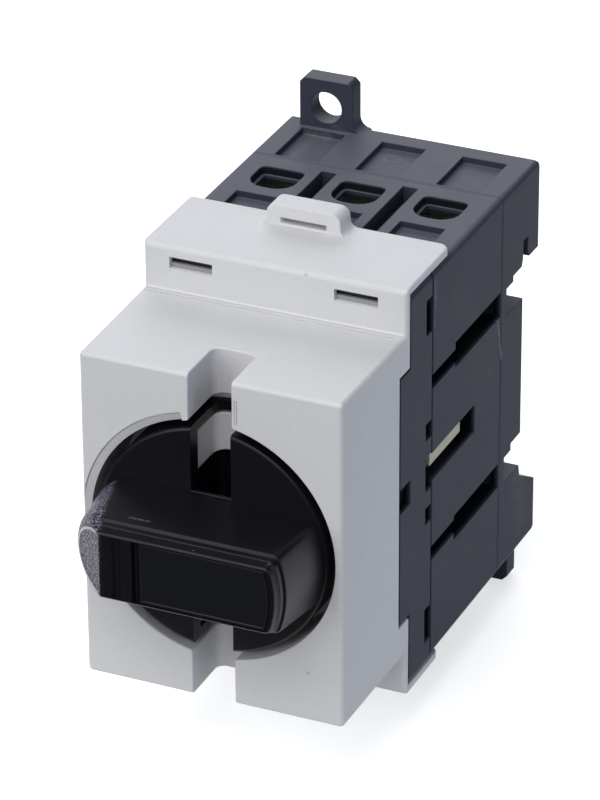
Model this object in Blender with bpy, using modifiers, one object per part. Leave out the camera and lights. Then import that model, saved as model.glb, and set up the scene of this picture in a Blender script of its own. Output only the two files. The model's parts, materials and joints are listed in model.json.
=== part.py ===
"""DIN rail switch disconnector: three poles, turning grip, light front cover on a dark body.

Frame: +X to the right seen from the front, +Y from the front to the back, +Z up.
Origin: the middle of the face that sits on the rail. Depths are counted in
millimetres from the front face of the cover, and place() turns them into metres.
"""

import math

import bmesh
import bpy
from mathutils import Matrix, Vector

MM = 0.001

# Body
BODY_WIDTH = 34.9
BODY_HEIGHT = 54.6
FIT_GAP = 0.3
SEAT_DEPTH = 57.7
BACK_DEPTH = 62.9
FRONT_SEAM_DEPTH = 27.3
REAR_SEAM_DEPTH = 50.0
EDGE_ROUNDING = 0.9
POLE_PITCH = 11.2
POLES = (-1, 0, 1)
ENDS = (("top", 1), ("bottom", -1))

# Front cover
FRONT_HEIGHT = 44.8
FRONT_WIDTH = 34.7
COVER_LEFT = 17.8
COVER_RIGHT = 17.5
COVER_WALL = 1.5
RISER_DEPTH = 19.3
RISER_WALL = 0.9
SIDE_PANEL_DEPTH = 17.1
SIDE_PANEL_HALF_HEIGHT = 17.6
PLATE_THICKNESS = 1.0
TOP_PLATE_DEPTH = 33.0
BOTTOM_PLATE_DEPTH = 30.4
COVER_ROUNDING = 0.6
PLATE_CORNERS = (0.5, 1.5)
OPENING_RADIUS = 16.3
WELL_DEPTH = 9.1
WELL_FLOOR = 1.5
LOCK_RING_OUTER = 13.7
LOCK_RING_INNER = 8.6
LOCK_RING_DEPTH = 2.6
CHANNEL_HALF_WIDTH = 2.85
CHANNEL_DEPTH = 7.7
CHANNEL_CORNER = 1.2
CHANNEL_BOSS_WALL = 1.5
NUMBER_WINDOW = (5.8, 1.3)
NUMBER_WINDOW_DROP = 2.35
NUMBER_WINDOW_PLACES = (("left", -11.4), ("right", 10.7))
LATCH_WINDOW_HEIGHT = 4.4
LATCH_WINDOW_LENGTH = 2.6
LATCH_WINDOW_Z = 12.3
TAB_CENTRE = -0.9
TAB_SIZE = (10.0, 2.7)
TAB_CORNER = 1.3
TAB_SLOT = (6.1, 0.75)
TAB_LENGTH = 3.3

# Knob
DISC_RADIUS = 15.3
DISC_THICKNESS = 2.1
DISC_CHAMFER = 0.4
SKIRT_WALL = 1.2
SKIRT_DEPTH = 8.6
HUB_GAP = 0.4
HUB_DEPTH = 13.5
GRIP_HEIGHT = 10.6
GRIP_HALF_FOOT = 6.1
GRIP_HALF_LEDGE = 5.3
GRIP_HALF_FRONT = 4.6
GRIP_LEDGE = 8.6
GRIP_FOOT_RADIUS = 15.0
GRIP_FRONT_RADIUS = 13.5
NOSE_FOOT = 15.1
NOSE_FRONT = 10.4
NOSE_RISE = 5.0
TUNNEL_FRONT = 0.5
LABEL_LEFT = -4.8
LABEL_RIGHT = 12.5
LABEL_HALF_HEIGHT = 4.15
LABEL_RECESS = 0.8
LABEL_THICKNESS = 0.7

# Mechanism
CORE_FRONT_DEPTH = 11.0
CORE_HALF_WIDTH = 15.3
CORE_HALF_HEIGHT = 19.8
MECHANISM_HALF = 12.6
BEARING_SEAT = 1.0
BEARING_DEPTH = 14.0
BEARING_THICKNESS = 1.6
MECHANISM_BACK_DEPTH = 25.5
SQUARE_SIDE = 7.0
JOURNAL_RADIUS = 5.4
CRANK_RADIUS = 8.6
CRANK_THICKNESS = 1.7
CRANK_PIN_RADIUS = 1.1
CRANK_PIN_PLACE = 6.5
CRANK_PIN_LENGTH = 2.9
DRUM_RADIUS = 4.6
SPRING_POST_PLACE = 13.0
SPRING_POST_RADIUS = 1.5
TOGGLE_COIL_RADIUS = 1.1
TOGGLE_WIRE = 0.22
TURN_DEGREES = 90.0
CONTACT_TRAVEL = 3.3
FOLLOWER_RADIUS = 0.85
FOLLOWER_DEPTH = 22.3
GROOVE_RADIUS = 1.2

# Contacts
CARRIER_HALF_WIDTH = 15.2
CARRIER_HALF_HEIGHT = 3.2
CARRIER_FRONT_DEPTH = 28.0
CARRIER_LENGTH = 9.9
CARRIER_FRONT_WALL = 1.3
LUG_HALF_WIDTH = 16.9
LUG_LOW = 0.0
LUG_HIGH = 1.8
ARM_HALF_WIDTH = 1.5
ARM_OUTER = 7.8
BRIDGE_THICKNESS = 1.0
BRIDGE_HALF_WIDTH = 2.4
BRIDGE_HALF_LENGTH = 8.7
BRIDGE_SEAT_WALL = 2.5
CONTACT_PLACE = 7.0
CONTACT_RADIUS = 1.5
CONTACT_HEIGHT = 0.5
CONTACT_SPRING_RADIUS = 1.7
CONTACT_WIRE = 0.3
POCKET_HALF_WIDTH = 4.0
CONTACT_POCKET_HALF_HEIGHT = 10.2

# Terminals
TERMINAL_Z = 22.9
BAR_HALF_WIDTH = 2.5
BAR_THICKNESS = 1.2
BAR_INNER_Z = 4.5
CAGE_HALF_WIDTH = 3.7
CAGE_WALL = 0.7
CAGE_HALF_HEIGHT = 2.5
CAGE_NUT = 2.7
CAGE_MOUTH = 9.7
CAGE_TRAVEL = 4.8
SCREW_RADIUS = 1.75
SCREW_HEAD_RADIUS = 2.5
SCREW_HEAD_HEIGHT = 2.2
SCREW_HEAD_DEPTH = 21.7
SCREW_LEDGE_DEPTH = 24.2
SCREW_SLOT = (0.7, 1.0)
WIRE_HOLE_HALF_WIDTH = 3.05
WIRE_HOLE_FRONT = 41.3
WIRE_HOLE_BACK = 47.1
WIRE_HOLE_FRONT_CORNER = 2.5
WIRE_HOLE_BACK_CORNER = 0.8

# Marks and recesses of the dark body
RECESS_DEPTH = 0.9
RECESS_HALF_WIDTH = 3.0
FRONT_RECESS = (28.6, 39.1)
REAR_RECESS = (50.7, 59.6)
BARRIER_WIDTH = 2.0
BARRIER_DEPTH = 2.4
BARRIER_BACK = 48.5
SIDE_GROOVE_DEPTH = 2.5
NARROW_GROOVE = (11.25, 13.1)
NARROW_GROOVE_BACK = 35.0
WIDE_GROOVE = (10.7, 14.1)
SIDE_WINDOW_LOW = -1.65
SIDE_WINDOW_HIGH = 2.1
SIDE_WINDOW_BACK = 41.5
SIDE_RECESS_DEPTH = 1.0
SIDE_RECESS_LENGTH = 1.8
SIDE_RECESSES = ((-24.2, -19.4), (-7.1, -4.8), (-2.4, 2.4), (4.8, 7.1), (19.4, 24.2))
RELEASE_RECESS = (3.5, 3.3)

# Base with its rail hook, ears and clip
RAIL_SIZE = 35.0
RAIL_FLANGE_ROOM = 1.5
HOOK_TOP = 17.9
HOOK_MOUTH = 14.8
UPPER_GAP = (9.8, 13.6)
UPPER_STEP = (54.4, 14.4)
LOWER_GAP = (-14.5, -9.9)
LOWER_STEP = (54.4, -10.9)
GAP_FLOOR_DEPTH = 52.1
LOWER_JAW_Z = -16.3
LOWER_JAW_BACK_Z = -19.2
EAR_INNER = 7.45
EAR_OUTER = 14.9
EAR_FRONT_DEPTH = 60.1
EAR_REACH = 34.2
EAR_HOLE_RADIUS = 2.15
EAR_HOLE_DROP = 3.85
EAR_CHAMFER = 0.7
EAR_FILLET = 1.5
CORE_INNER_Z = 16.5
CLIP_HALF_WIDTH = 6.0
CLIP_RIB = 1.2
CLIP_FRONT_DEPTH = 58.1
CLIP_BACK_DEPTH = 62.4
CLIP_JAW_Z = -17.7
CLIP_LIP_Z = -15.5
CLIP_BOTTOM_Z = -31.5
CLIP_TRAVEL = 3.0
CLIP_WINDOW = (-27.2, -19.0)
CLIP_SPRING_RADIUS = 1.25
CLIP_WIRE = 0.25
SPRING_LUG = (-26.6, -25.2)

ROUND_STEPS = 48
SMALL_STEPS = 20
COIL_POINTS_PER_TURN = 10

HALF_WIDTH = BODY_WIDTH / 2
HALF_HEIGHT = BODY_HEIGHT / 2
FRONT_HALF_HEIGHT = FRONT_HEIGHT / 2
SHOULDER_Z = HALF_HEIGHT + FIT_GAP + PLATE_THICKNESS
SHOULDER_DEPTH = RISER_DEPTH + RISER_WALL
BEYOND = 3.0


def place(x, depth, z):
    """Point in metres for a place in millimetres, with its depth from the front face."""
    return Vector((x * MM, (depth - SEAT_DEPTH) * MM, z * MM))


def pole_x(pole):
    return pole * POLE_PITCH


def new_collection(name):
    collection = bpy.data.collections.new(name)
    bpy.context.scene.collection.children.link(collection)
    return collection


def new_material(name, colour, roughness, metallic=0.0):
    material = bpy.data.materials.new(name)
    material.use_nodes = True
    shader = material.node_tree.nodes["Principled BSDF"]
    shader.inputs["Base Color"].default_value = (*colour, 1.0)
    shader.inputs["Roughness"].default_value = roughness
    shader.inputs["Metallic"].default_value = metallic
    material.diffuse_color = (*colour, 1.0)
    return material


def mesh_object(name, mesh):
    obj = bpy.data.objects.new(name, mesh)
    tools.objects.link(obj)
    obj.hide_render = True
    obj.display_type = "WIRE"
    return obj


def box(name, x, depth, z):
    """Box between two limits along each direction."""
    low = place(x[0], depth[0], z[0])
    high = place(x[1], depth[1], z[1])
    work = bmesh.new()
    size = Matrix.Diagonal((*(high - low), 1.0))
    bmesh.ops.create_cube(work, size=1.0, matrix=Matrix.Translation((low + high) / 2) @ size)
    mesh = bpy.data.meshes.new(name)
    work.to_mesh(mesh)
    work.free()
    return mesh_object(name, mesh)


def rod(name, radius, start, end, steps=SMALL_STEPS, end_radius=None):
    """Round rod between two points in metres, or a cone where the end has its own radius."""
    line = end - start
    turn = line.to_track_quat("Z", "Y").to_matrix().to_4x4()
    work = bmesh.new()
    bmesh.ops.create_cone(
        work,
        cap_ends=True,
        segments=steps,
        radius1=radius * MM,
        radius2=(radius if end_radius is None else end_radius) * MM,
        depth=line.length,
        matrix=Matrix.Translation((start + end) / 2) @ turn,
    )
    mesh = bpy.data.meshes.new(name)
    work.to_mesh(mesh)
    work.free()
    return mesh_object(name, mesh)


def depth_rod(name, radius, x, z, depth, steps=SMALL_STEPS):
    """Round rod along the depth."""
    return rod(name, radius, place(x, depth[0], z), place(x, depth[1], z), steps)


def evaluated_copy(obj):
    """Plain mesh object of what a curve or a modified object evaluates to."""
    graph = bpy.context.evaluated_depsgraph_get()
    mesh = bpy.data.meshes.new_from_object(obj.evaluated_get(graph))
    work = bmesh.new()
    work.from_mesh(mesh)
    bmesh.ops.remove_doubles(work, verts=work.verts, dist=1e-6)
    work.to_mesh(mesh)
    work.free()
    name, matrix, data = obj.name, obj.matrix_world.copy(), obj.data
    bpy.data.objects.remove(obj)
    if isinstance(data, bpy.types.Curve):
        bpy.data.curves.remove(data)
    copy = mesh_object(name, mesh)
    copy.matrix_world = matrix
    return copy


def extrusion(name, outline, span, frame):
    """Flat outline in millimetres, drawn in frame's first two directions and filled along its third."""
    curve = bpy.data.curves.new(name, "CURVE")
    curve.dimensions = "2D"
    curve.fill_mode = "BOTH"
    curve.extrude = (span[1] - span[0]) / 2 * MM
    spline = curve.splines.new("POLY")
    spline.points.add(len(outline) - 1)
    for point, (u, v) in zip(spline.points, outline):
        point.co = (u * MM, v * MM, 0.0, 1.0)
    spline.use_cyclic_u = True
    obj = bpy.data.objects.new(name, curve)
    tools.objects.link(obj)
    middle = Matrix.Translation((0.0, 0.0, (span[0] + span[1]) / 2 * MM))
    obj.matrix_world = Matrix.Translation(place(0.0, 0.0, 0.0)) @ frame @ middle
    bpy.context.view_layer.update()
    return evaluated_copy(obj)


def axes(first, second, third):
    """Matrix that turns local X, Y and Z to the three directions given."""
    return Matrix((first, second, third)).transposed().to_4x4()


SIDE_VIEW = axes((0, 1, 0), (0, 0, 1), (1, 0, 0))
FRONT_VIEW = axes((1, 0, 0), (0, 0, 1), (0, -1, 0))
PLAN_VIEW = axes((1, 0, 0), (0, 1, 0), (0, 0, 1))


def turned(name, profile, steps=ROUND_STEPS):
    """Turned solid about the depth axis through the knob, from (radius, depth) points."""
    mesh = bpy.data.meshes.new(name)
    points = [(radius * MM, 0.0, -depth * MM) for radius, depth in profile]
    mesh.from_pydata(points, [(i, i + 1) for i in range(len(points) - 1)], [])
    obj = mesh_object(name, mesh)
    obj.matrix_world = Matrix.Translation(place(0.0, 0.0, 0.0)) @ Matrix.Rotation(math.pi / 2, 4, "X")
    screw = obj.modifiers.new("turn", "SCREW")
    screw.steps = steps
    screw.render_steps = steps
    screw.use_merge_vertices = True
    screw.merge_threshold = 1e-6
    bpy.context.view_layer.update()
    return evaluated_copy(obj)


def arc(centre, radius, start, end, steps):
    """Points on an arc, with angles in degrees."""
    cx, cy = centre
    turns = [math.radians(start + (end - start) * i / steps) for i in range(steps + 1)]
    return [(cx + radius * math.cos(a), cy + radius * math.sin(a)) for a in turns]


def boolean(obj, other, operation):
    modifier = obj.modifiers.new(operation.lower() + "_" + other.name, "BOOLEAN")
    modifier.operation = operation
    modifier.solver = "EXACT"
    modifier.object = other


def cut(obj, *cutters):
    for cutter in cutters:
        boolean(obj, cutter, "DIFFERENCE")


def join(obj, *others):
    for other in others:
        boolean(obj, other, "UNION")


def finish(obj, material, origin=None, parent=None):
    """Moves a shape to the model's collection with its material and its origin."""
    tools.objects.unlink(obj)
    model.objects.link(obj)
    obj.hide_render = False
    obj.display_type = "TEXTURED"
    obj.data.materials.clear()
    obj.data.materials.append(material)
    if origin is not None:
        shift = obj.matrix_world.inverted() @ Matrix.Translation(-origin) @ obj.matrix_world
        obj.data.transform(shift)
        obj.matrix_world = Matrix.Translation(origin) @ obj.matrix_world
    if parent is not None:
        obj.parent = parent
        obj.matrix_parent_inverse = parent.matrix_world.inverted()
    return obj


def axis_empty(name, point):
    empty = bpy.data.objects.new(name, None)
    model.objects.link(empty)
    empty.empty_display_size = 3 * MM
    empty.matrix_world = Matrix.Translation(point)
    bpy.context.view_layer.update()
    return empty


def round_edges(obj, width, segments, chosen):
    """Rounds the convex edges that chosen() accepts by their two ends, as places in millimetres."""
    work = bmesh.new()
    work.from_mesh(obj.data)
    work.normal_update()
    to_world = obj.matrix_world

    def spot(vertex):
        x, y, z = to_world @ vertex.co
        return x / MM, y / MM + SEAT_DEPTH, z / MM

    edges = [
        e
        for e in work.edges
        if e.is_convex
        and e.calc_face_angle(0.0) > math.radians(25)
        and chosen(*(spot(v) for v in e.verts))
    ]
    bmesh.ops.bevel(
        work, geom=edges, offset=width * MM, segments=segments, profile=0.5, affect="EDGES", clamp_overlap=True
    )
    work.to_mesh(obj.data)
    work.free()


def rounded_block(name, depth):
    """Block of the body's width and height, with rounded edges along its depth."""
    reach_x, reach_z = HALF_WIDTH - EDGE_ROUNDING, HALF_HEIGHT - EDGE_ROUNDING
    corners = ((reach_x, reach_z, 0), (-reach_x, reach_z, 90), (-reach_x, -reach_z, 180), (reach_x, -reach_z, 270))
    outline = [p for x, z, turn in corners for p in arc((x, z), EDGE_ROUNDING, turn, turn + 90, 3)]
    return extrusion(name, outline, (-depth[1], -depth[0]), FRONT_VIEW)


def loft(name, rings):
    """Solid through rings of equally many points, each ring in a plane across the depth."""
    work = bmesh.new()
    rows = [[work.verts.new(place(x, depth, z)) for x, z in outline] for depth, outline in rings]
    for low, high in zip(rows, rows[1:]):
        for i in range(len(low)):
            j = (i + 1) % len(low)
            work.faces.new((low[i], low[j], high[j], high[i]))
    work.faces.new(rows[0])
    work.faces.new(rows[-1])
    bmesh.ops.recalc_face_normals(work, faces=work.faces)
    mesh = bpy.data.meshes.new(name)
    work.to_mesh(mesh)
    work.free()
    return mesh_object(name, mesh)


def channel_outline(half_width, front, back, corner):
    """Plan of the padlock channel: open box with rounded back corners."""
    right = arc((half_width - corner, back - corner), corner, 0, 90, 3)
    left = [(-x, depth) for x, depth in reversed(right)]
    return [(half_width, front), *right, *left, (-half_width, front)]


def coil(name, centre_line, radius, wire, turns):
    """Compression spring along the line between two points in metres."""
    start, end = centre_line
    line = end - start
    turn = line.to_track_quat("Z", "Y").to_matrix()
    count = turns * COIL_POINTS_PER_TURN
    curve = bpy.data.curves.new(name, "CURVE")
    curve.dimensions = "3D"
    curve.bevel_depth = wire * MM
    curve.bevel_resolution = 1
    curve.use_fill_caps = True
    spline = curve.splines.new("POLY")
    spline.points.add(count)
    for i, point in enumerate(spline.points):
        angle = 2 * math.pi * i / COIL_POINTS_PER_TURN
        spot = Vector((radius * MM * math.cos(angle), radius * MM * math.sin(angle), line.length * i / count))
        point.co = (*(start + turn @ spot), 1.0)
    obj = bpy.data.objects.new(name, curve)
    tools.objects.link(obj)
    bpy.context.view_layer.update()
    return evaluated_copy(obj)


def plate_back(z):
    """Depth of the back edge of the cover's plate on the side of this height."""
    return TOP_PLATE_DEPTH if z > 0 else BOTTOM_PLATE_DEPTH


def front_cover(material):
    """Front box, riser walls and the plates over the terminals, with the knob's well."""
    body_z = HALF_HEIGHT + FIT_GAP
    outline = [
        (0, -FRONT_HALF_HEIGHT),
        (0, FRONT_HALF_HEIGHT),
        (RISER_DEPTH, FRONT_HALF_HEIGHT),
        (RISER_DEPTH, SHOULDER_Z),
        (TOP_PLATE_DEPTH, SHOULDER_Z),
        (TOP_PLATE_DEPTH, body_z),
        (SHOULDER_DEPTH, body_z),
        (SHOULDER_DEPTH, -body_z),
        (BOTTOM_PLATE_DEPTH, -body_z),
        (BOTTOM_PLATE_DEPTH, -SHOULDER_Z),
        (RISER_DEPTH, -SHOULDER_Z),
        (RISER_DEPTH, -FRONT_HALF_HEIGHT),
    ]
    cover = extrusion("front_cover", outline, (-COVER_LEFT, COVER_RIGHT), SIDE_VIEW)
    for vertex in cover.data.vertices:
        x, y, _ = cover.matrix_world @ vertex.co
        if y < (0.1 - SEAT_DEPTH) * MM:
            vertex.co.z += math.copysign(FRONT_WIDTH / 2 * MM, x) - x
    for side, radius in zip((-1, 1), PLATE_CORNERS):
        round_edges(
            cover, radius, 3, lambda a, b: min(a[1], b[1]) > plate_back(a[2]) - 0.1 and side * a[0] > 0 < side * b[0]
        )

    def outside(a, b):
        under_plate = abs(abs(a[2]) - body_z) < 0.01 or abs(abs(b[2]) - body_z) < 0.01
        at_back = min(a[1], b[1]) > plate_back(a[2]) - max(PLATE_CORNERS) - 0.1
        return not under_plate and not at_back

    round_edges(cover, COVER_ROUNDING, 2, outside)
    inner_x = COVER_RIGHT - COVER_WALL
    inner_z = FRONT_HALF_HEIGHT - COVER_WALL
    cut(
        cover,
        box("cover_inside", (-inner_x, inner_x), (COVER_WALL, SHOULDER_DEPTH + BEYOND), (-inner_z, inner_z)),
        box(
            "cover_side_panels",
            (-HALF_WIDTH - BEYOND, HALF_WIDTH + BEYOND),
            (SIDE_PANEL_DEPTH, SHOULDER_DEPTH + BEYOND),
            (-SIDE_PANEL_HALF_HEIGHT, SIDE_PANEL_HALF_HEIGHT),
        ),
    )
    half_wall = COVER_WALL / 2
    well_x = HALF_WIDTH - half_wall
    well = extrusion(
        "cover_well",
        [
            (max(-well_x, min(well_x, x)), z)
            for x, z in arc((0, 0), OPENING_RADIUS + COVER_WALL, 0, 360, ROUND_STEPS)[:-1]
        ],
        (-(WELL_DEPTH + WELL_FLOOR), -half_wall),
        FRONT_VIEW,
    )
    boss_x = CHANNEL_HALF_WIDTH + CHANNEL_BOSS_WALL
    boss_z = FRONT_HALF_HEIGHT - half_wall
    boss = box(
        "channel_boss", (-boss_x, boss_x), (half_wall, CHANNEL_DEPTH + CHANNEL_BOSS_WALL), (-boss_z, boss_z)
    )
    tab_x, tab_z = TAB_SIZE
    tab_end = tab_x / 2 - TAB_CORNER
    tab_front = TOP_PLATE_DEPTH - TAB_LENGTH
    tab_floor = SHOULDER_Z - PLATE_THICKNESS / 2
    tab_top = SHOULDER_Z + tab_z
    tab_outline = [(tab_x / 2, tab_floor), *arc((tab_end, tab_top - TAB_CORNER), TAB_CORNER, 0, 90, 4)]
    tab_outline += [(-x, z) for x, z in reversed(tab_outline)]
    tab = extrusion(
        "cover_tab",
        [(x + TAB_CENTRE, z) for x, z in tab_outline],
        (-TOP_PLATE_DEPTH, -tab_front),
        FRONT_VIEW,
    )
    join(cover, well, boss, tab)
    knob_room = turned(
        "knob_room",
        [
            (0, -BEYOND),
            (OPENING_RADIUS, -BEYOND),
            (OPENING_RADIUS, WELL_DEPTH),
            (LOCK_RING_OUTER, WELL_DEPTH),
            (LOCK_RING_OUTER, LOCK_RING_DEPTH),
            (LOCK_RING_INNER, LOCK_RING_DEPTH),
            (LOCK_RING_INNER, WELL_DEPTH + WELL_FLOOR + BEYOND),
            (0, WELL_DEPTH + WELL_FLOOR + BEYOND),
        ],
    )
    channel_z = FRONT_HALF_HEIGHT + BEYOND
    channel = extrusion(
        "cover_channel",
        channel_outline(CHANNEL_HALF_WIDTH, -BEYOND, CHANNEL_DEPTH, CHANNEL_CORNER),
        (-channel_z, channel_z),
        PLAN_VIEW,
    )
    slot_x, slot_z = TAB_SLOT
    slot_low = SHOULDER_Z + 0.2
    slot = box(
        "tab_slot",
        (TAB_CENTRE - slot_x / 2, TAB_CENTRE + slot_x / 2),
        (tab_front - BEYOND, tab_front + TAB_LENGTH / 2),
        (slot_low, slot_low + slot_z),
    )
    cut(cover, knob_room, channel, slot)
    window_x, window_z = NUMBER_WINDOW
    window_middle = SHOULDER_Z - NUMBER_WINDOW_DROP
    for name, middle in NUMBER_WINDOW_PLACES:
        side = math.copysign(1, middle)
        cut(
            cover,
            box(
                "number_window_" + name,
                (middle - window_x / 2, middle + window_x / 2),
                (RISER_DEPTH - BEYOND, SHOULDER_DEPTH + 0.1),
                (window_middle - window_z / 2, window_middle + window_z / 2),
            ),
        )
        for end, up in ENDS:
            latch_z = up * LATCH_WINDOW_Z
            cut(
                cover,
                box(
                    "cover_latch_%s_%s" % (end, name),
                    sorted((side * (inner_x - 1.0), side * (COVER_LEFT + BEYOND))),
                    (SIDE_PANEL_DEPTH - LATCH_WINDOW_LENGTH, SIDE_PANEL_DEPTH + BEYOND),
                    (latch_z - LATCH_WINDOW_HEIGHT / 2, latch_z + LATCH_WINDOW_HEIGHT / 2),
                ),
            )
    return finish(cover, material)


def grip_ring(half_height, nose, nose_round, end_radius):
    """Front view of the grip at one depth: an oval nose on the left, an arc about the knob's axis on the right."""
    lean = math.degrees(math.asin(half_height / end_radius))
    right = arc((0, 0), end_radius, -lean, lean, 6)
    turns = [math.radians(90 + 180 * i / 10) for i in range(11)]
    left = [(nose_round - nose + nose_round * math.cos(a), half_height * math.sin(a)) for a in turns]
    return right + left


def grip_rings():
    """Rings from the disc to the front: straight flanks, a ledge, then rounded edges."""
    rings = [(DISC_THICKNESS / 2, grip_ring(GRIP_HALF_FOOT, NOSE_FOOT, 1.3, GRIP_FOOT_RADIUS))]
    nose_start = GRIP_HEIGHT - NOSE_RISE
    slope = (GRIP_FOOT_RADIUS - GRIP_FRONT_RADIUS) / GRIP_HEIGHT
    for step in (0.0, 0.35, 0.55, 0.72, 0.87, 0.96, 1.0):
        height = nose_start + NOSE_RISE * step
        along = math.sqrt(max(0.0, 1 - step**2))
        nose = NOSE_FRONT + (NOSE_FOOT - NOSE_FRONT) * along
        if height <= GRIP_LEDGE:
            half = GRIP_HALF_FOOT + (GRIP_HALF_LEDGE - GRIP_HALF_FOOT) * height / GRIP_LEDGE
        else:
            drop = (height - GRIP_LEDGE) / (GRIP_HEIGHT - GRIP_LEDGE)
            half = GRIP_HALF_LEDGE + (GRIP_HALF_FRONT - GRIP_HALF_LEDGE) * drop
        end = GRIP_FOOT_RADIUS - slope * height
        rings.append((-height, grip_ring(half, nose, 1.3 + 2.0 * step**2, end)))
    return rings


def knob_axis_point(depth):
    return place(0, depth, 0)


def knob(material, parent):
    """Disc with its skirt and hub, the grip across it and the padlock channel behind the grip."""
    body = turned(
        "knob",
        [
            (0, 0),
            (DISC_RADIUS - DISC_CHAMFER, 0),
            (DISC_RADIUS, DISC_CHAMFER),
            (DISC_RADIUS, SKIRT_DEPTH),
            (DISC_RADIUS - SKIRT_WALL, SKIRT_DEPTH),
            (DISC_RADIUS - SKIRT_WALL, DISC_THICKNESS),
            (LOCK_RING_INNER - HUB_GAP, DISC_THICKNESS),
            (LOCK_RING_INNER - HUB_GAP, HUB_DEPTH),
            (0, HUB_DEPTH),
        ],
    )
    grip = loft("grip", grip_rings())
    join(body, grip)
    tunnel_z = DISC_RADIUS + BEYOND
    tunnel = extrusion(
        "knob_tunnel",
        channel_outline(CHANNEL_HALF_WIDTH - 0.2, TUNNEL_FRONT, CHANNEL_DEPTH, CHANNEL_CORNER),
        (-tunnel_z, tunnel_z),
        PLAN_VIEW,
    )
    socket_half = SQUARE_SIDE / 2 + 0.15
    socket = box(
        "knob_socket",
        (-socket_half, socket_half),
        (CHANNEL_DEPTH + 1.5, HUB_DEPTH + BEYOND),
        (-socket_half, socket_half),
    )
    recess = extrusion(
        "label_recess", label_outline(0.0), (GRIP_HEIGHT - LABEL_RECESS, GRIP_HEIGHT + BEYOND), FRONT_VIEW
    )
    cut(body, tunnel, socket, recess)
    for end, up in ENDS:
        cut(
            body,
            box(
                "knob_slot_" + end,
                (-CHANNEL_HALF_WIDTH + 0.2, CHANNEL_HALF_WIDTH - 0.2),
                (-BEYOND, TUNNEL_FRONT + 0.5),
                sorted((up * (GRIP_HALF_FOOT + 0.1), up * tunnel_z)),
            ),
        )
    return finish(body, material, knob_axis_point(0), parent)


def label_outline(inset):
    """Front view of the label's place on the grip: a rectangle whose right side follows the knob's rim."""
    half = LABEL_HALF_HEIGHT - inset
    right = LABEL_RIGHT - inset
    lean = math.degrees(math.asin(half / right))
    return [(LABEL_LEFT + inset, half), (LABEL_LEFT + inset, -half), *arc((0, 0), right, -lean, lean, 4)]


def knob_label(material, parent):
    front = GRIP_HEIGHT - LABEL_RECESS
    plate = extrusion("knob_label", label_outline(FIT_GAP), (front + 0.1, front + 0.1 + LABEL_THICKNESS), FRONT_VIEW)
    return finish(plate, material, knob_axis_point(-front), parent)


def helix_groove(name, start_angle):
    """Round cutter along the cam groove, which moves its follower back as the spindle turns."""
    run_out = 16.0
    steps = 16
    curve = bpy.data.curves.new(name, "CURVE")
    curve.dimensions = "3D"
    curve.bevel_depth = GROOVE_RADIUS * MM
    curve.bevel_resolution = 2
    curve.use_fill_caps = True
    spline = curve.splines.new("POLY")
    spline.points.add(steps)
    for i, point in enumerate(spline.points):
        turn = -run_out + (TURN_DEGREES + 2 * run_out) * i / steps
        angle = math.radians(start_angle + turn)
        depth = FOLLOWER_DEPTH + CONTACT_TRAVEL * turn / TURN_DEGREES
        spot = place(DRUM_RADIUS * math.cos(angle), depth, DRUM_RADIUS * math.sin(angle))
        point.co = (*spot, 1.0)
    obj = bpy.data.objects.new(name, curve)
    tools.objects.link(obj)
    bpy.context.view_layer.update()
    return evaluated_copy(obj)


def drum_end():
    return CARRIER_FRONT_DEPTH - 0.5


def crank_front():
    return BEARING_DEPTH + BEARING_THICKNESS + FIT_GAP


def spindle(material, parent):
    """Square front end, journal, crank disc with two pins, and the drum with two cam grooves."""
    disc_back = crank_front() + CRANK_THICKNESS
    shaft = turned(
        "spindle",
        [
            (0, BEARING_DEPTH),
            (JOURNAL_RADIUS, BEARING_DEPTH),
            (JOURNAL_RADIUS, crank_front()),
            (CRANK_RADIUS, crank_front()),
            (CRANK_RADIUS, disc_back),
            (DRUM_RADIUS, disc_back),
            (DRUM_RADIUS, drum_end()),
            (0, drum_end()),
        ],
        ROUND_STEPS // 2,
    )
    half = SQUARE_SIDE / 2
    square = box("spindle_square", (-half, half), (CHANNEL_DEPTH + 1.8, BEARING_DEPTH + 0.6), (-half, half))
    join(shaft, square)
    for end, up in ENDS:
        pin_depth = (disc_back - 0.2, disc_back + CRANK_PIN_LENGTH)
        join(shaft, depth_rod("crank_pin_" + end, CRANK_PIN_RADIUS, 0, up * CRANK_PIN_PLACE, pin_depth, 12))
        cut(shaft, helix_groove("cam_groove_" + end, 90.0 * up))
    return finish(shaft, material, knob_axis_point(BEARING_DEPTH), parent)


def bearing_plate(material):
    half = MECHANISM_HALF + BEARING_SEAT - FIT_GAP
    plate = box(
        "bearing_plate", (-half, half), (BEARING_DEPTH, BEARING_DEPTH + BEARING_THICKNESS), (-half, half)
    )
    hole_depth = (BEARING_DEPTH - BEYOND, BEARING_DEPTH + BEARING_THICKNESS + BEYOND)
    cut(plate, depth_rod("bearing_hole", JOURNAL_RADIUS + FIT_GAP, 0, 0, hole_depth, ROUND_STEPS // 2))
    return finish(plate, material)


def spring_post_places():
    """Front view places of the two posts, at 45 degrees to the crank pins on the side they turn to."""
    reach = SPRING_POST_PLACE * math.sqrt(0.5)
    return [("right", 1, reach, reach), ("left", -1, -reach, -reach)]


def toggle_springs(material):
    depth = crank_front() + CRANK_THICKNESS + CRANK_PIN_LENGTH / 2
    for name, up, x, z in spring_post_places():
        pin = place(0, depth, up * CRANK_PIN_PLACE)
        post = place(x, depth, z)
        along = (post - pin).normalized()
        start = pin + along * (CRANK_PIN_RADIUS + TOGGLE_WIRE + FIT_GAP) * MM
        end = post - along * (SPRING_POST_RADIUS + TOGGLE_WIRE + FIT_GAP) * MM
        finish(coil("toggle_spring_" + name, (start, end), TOGGLE_COIL_RADIUS, TOGGLE_WIRE, 5), material)


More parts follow.
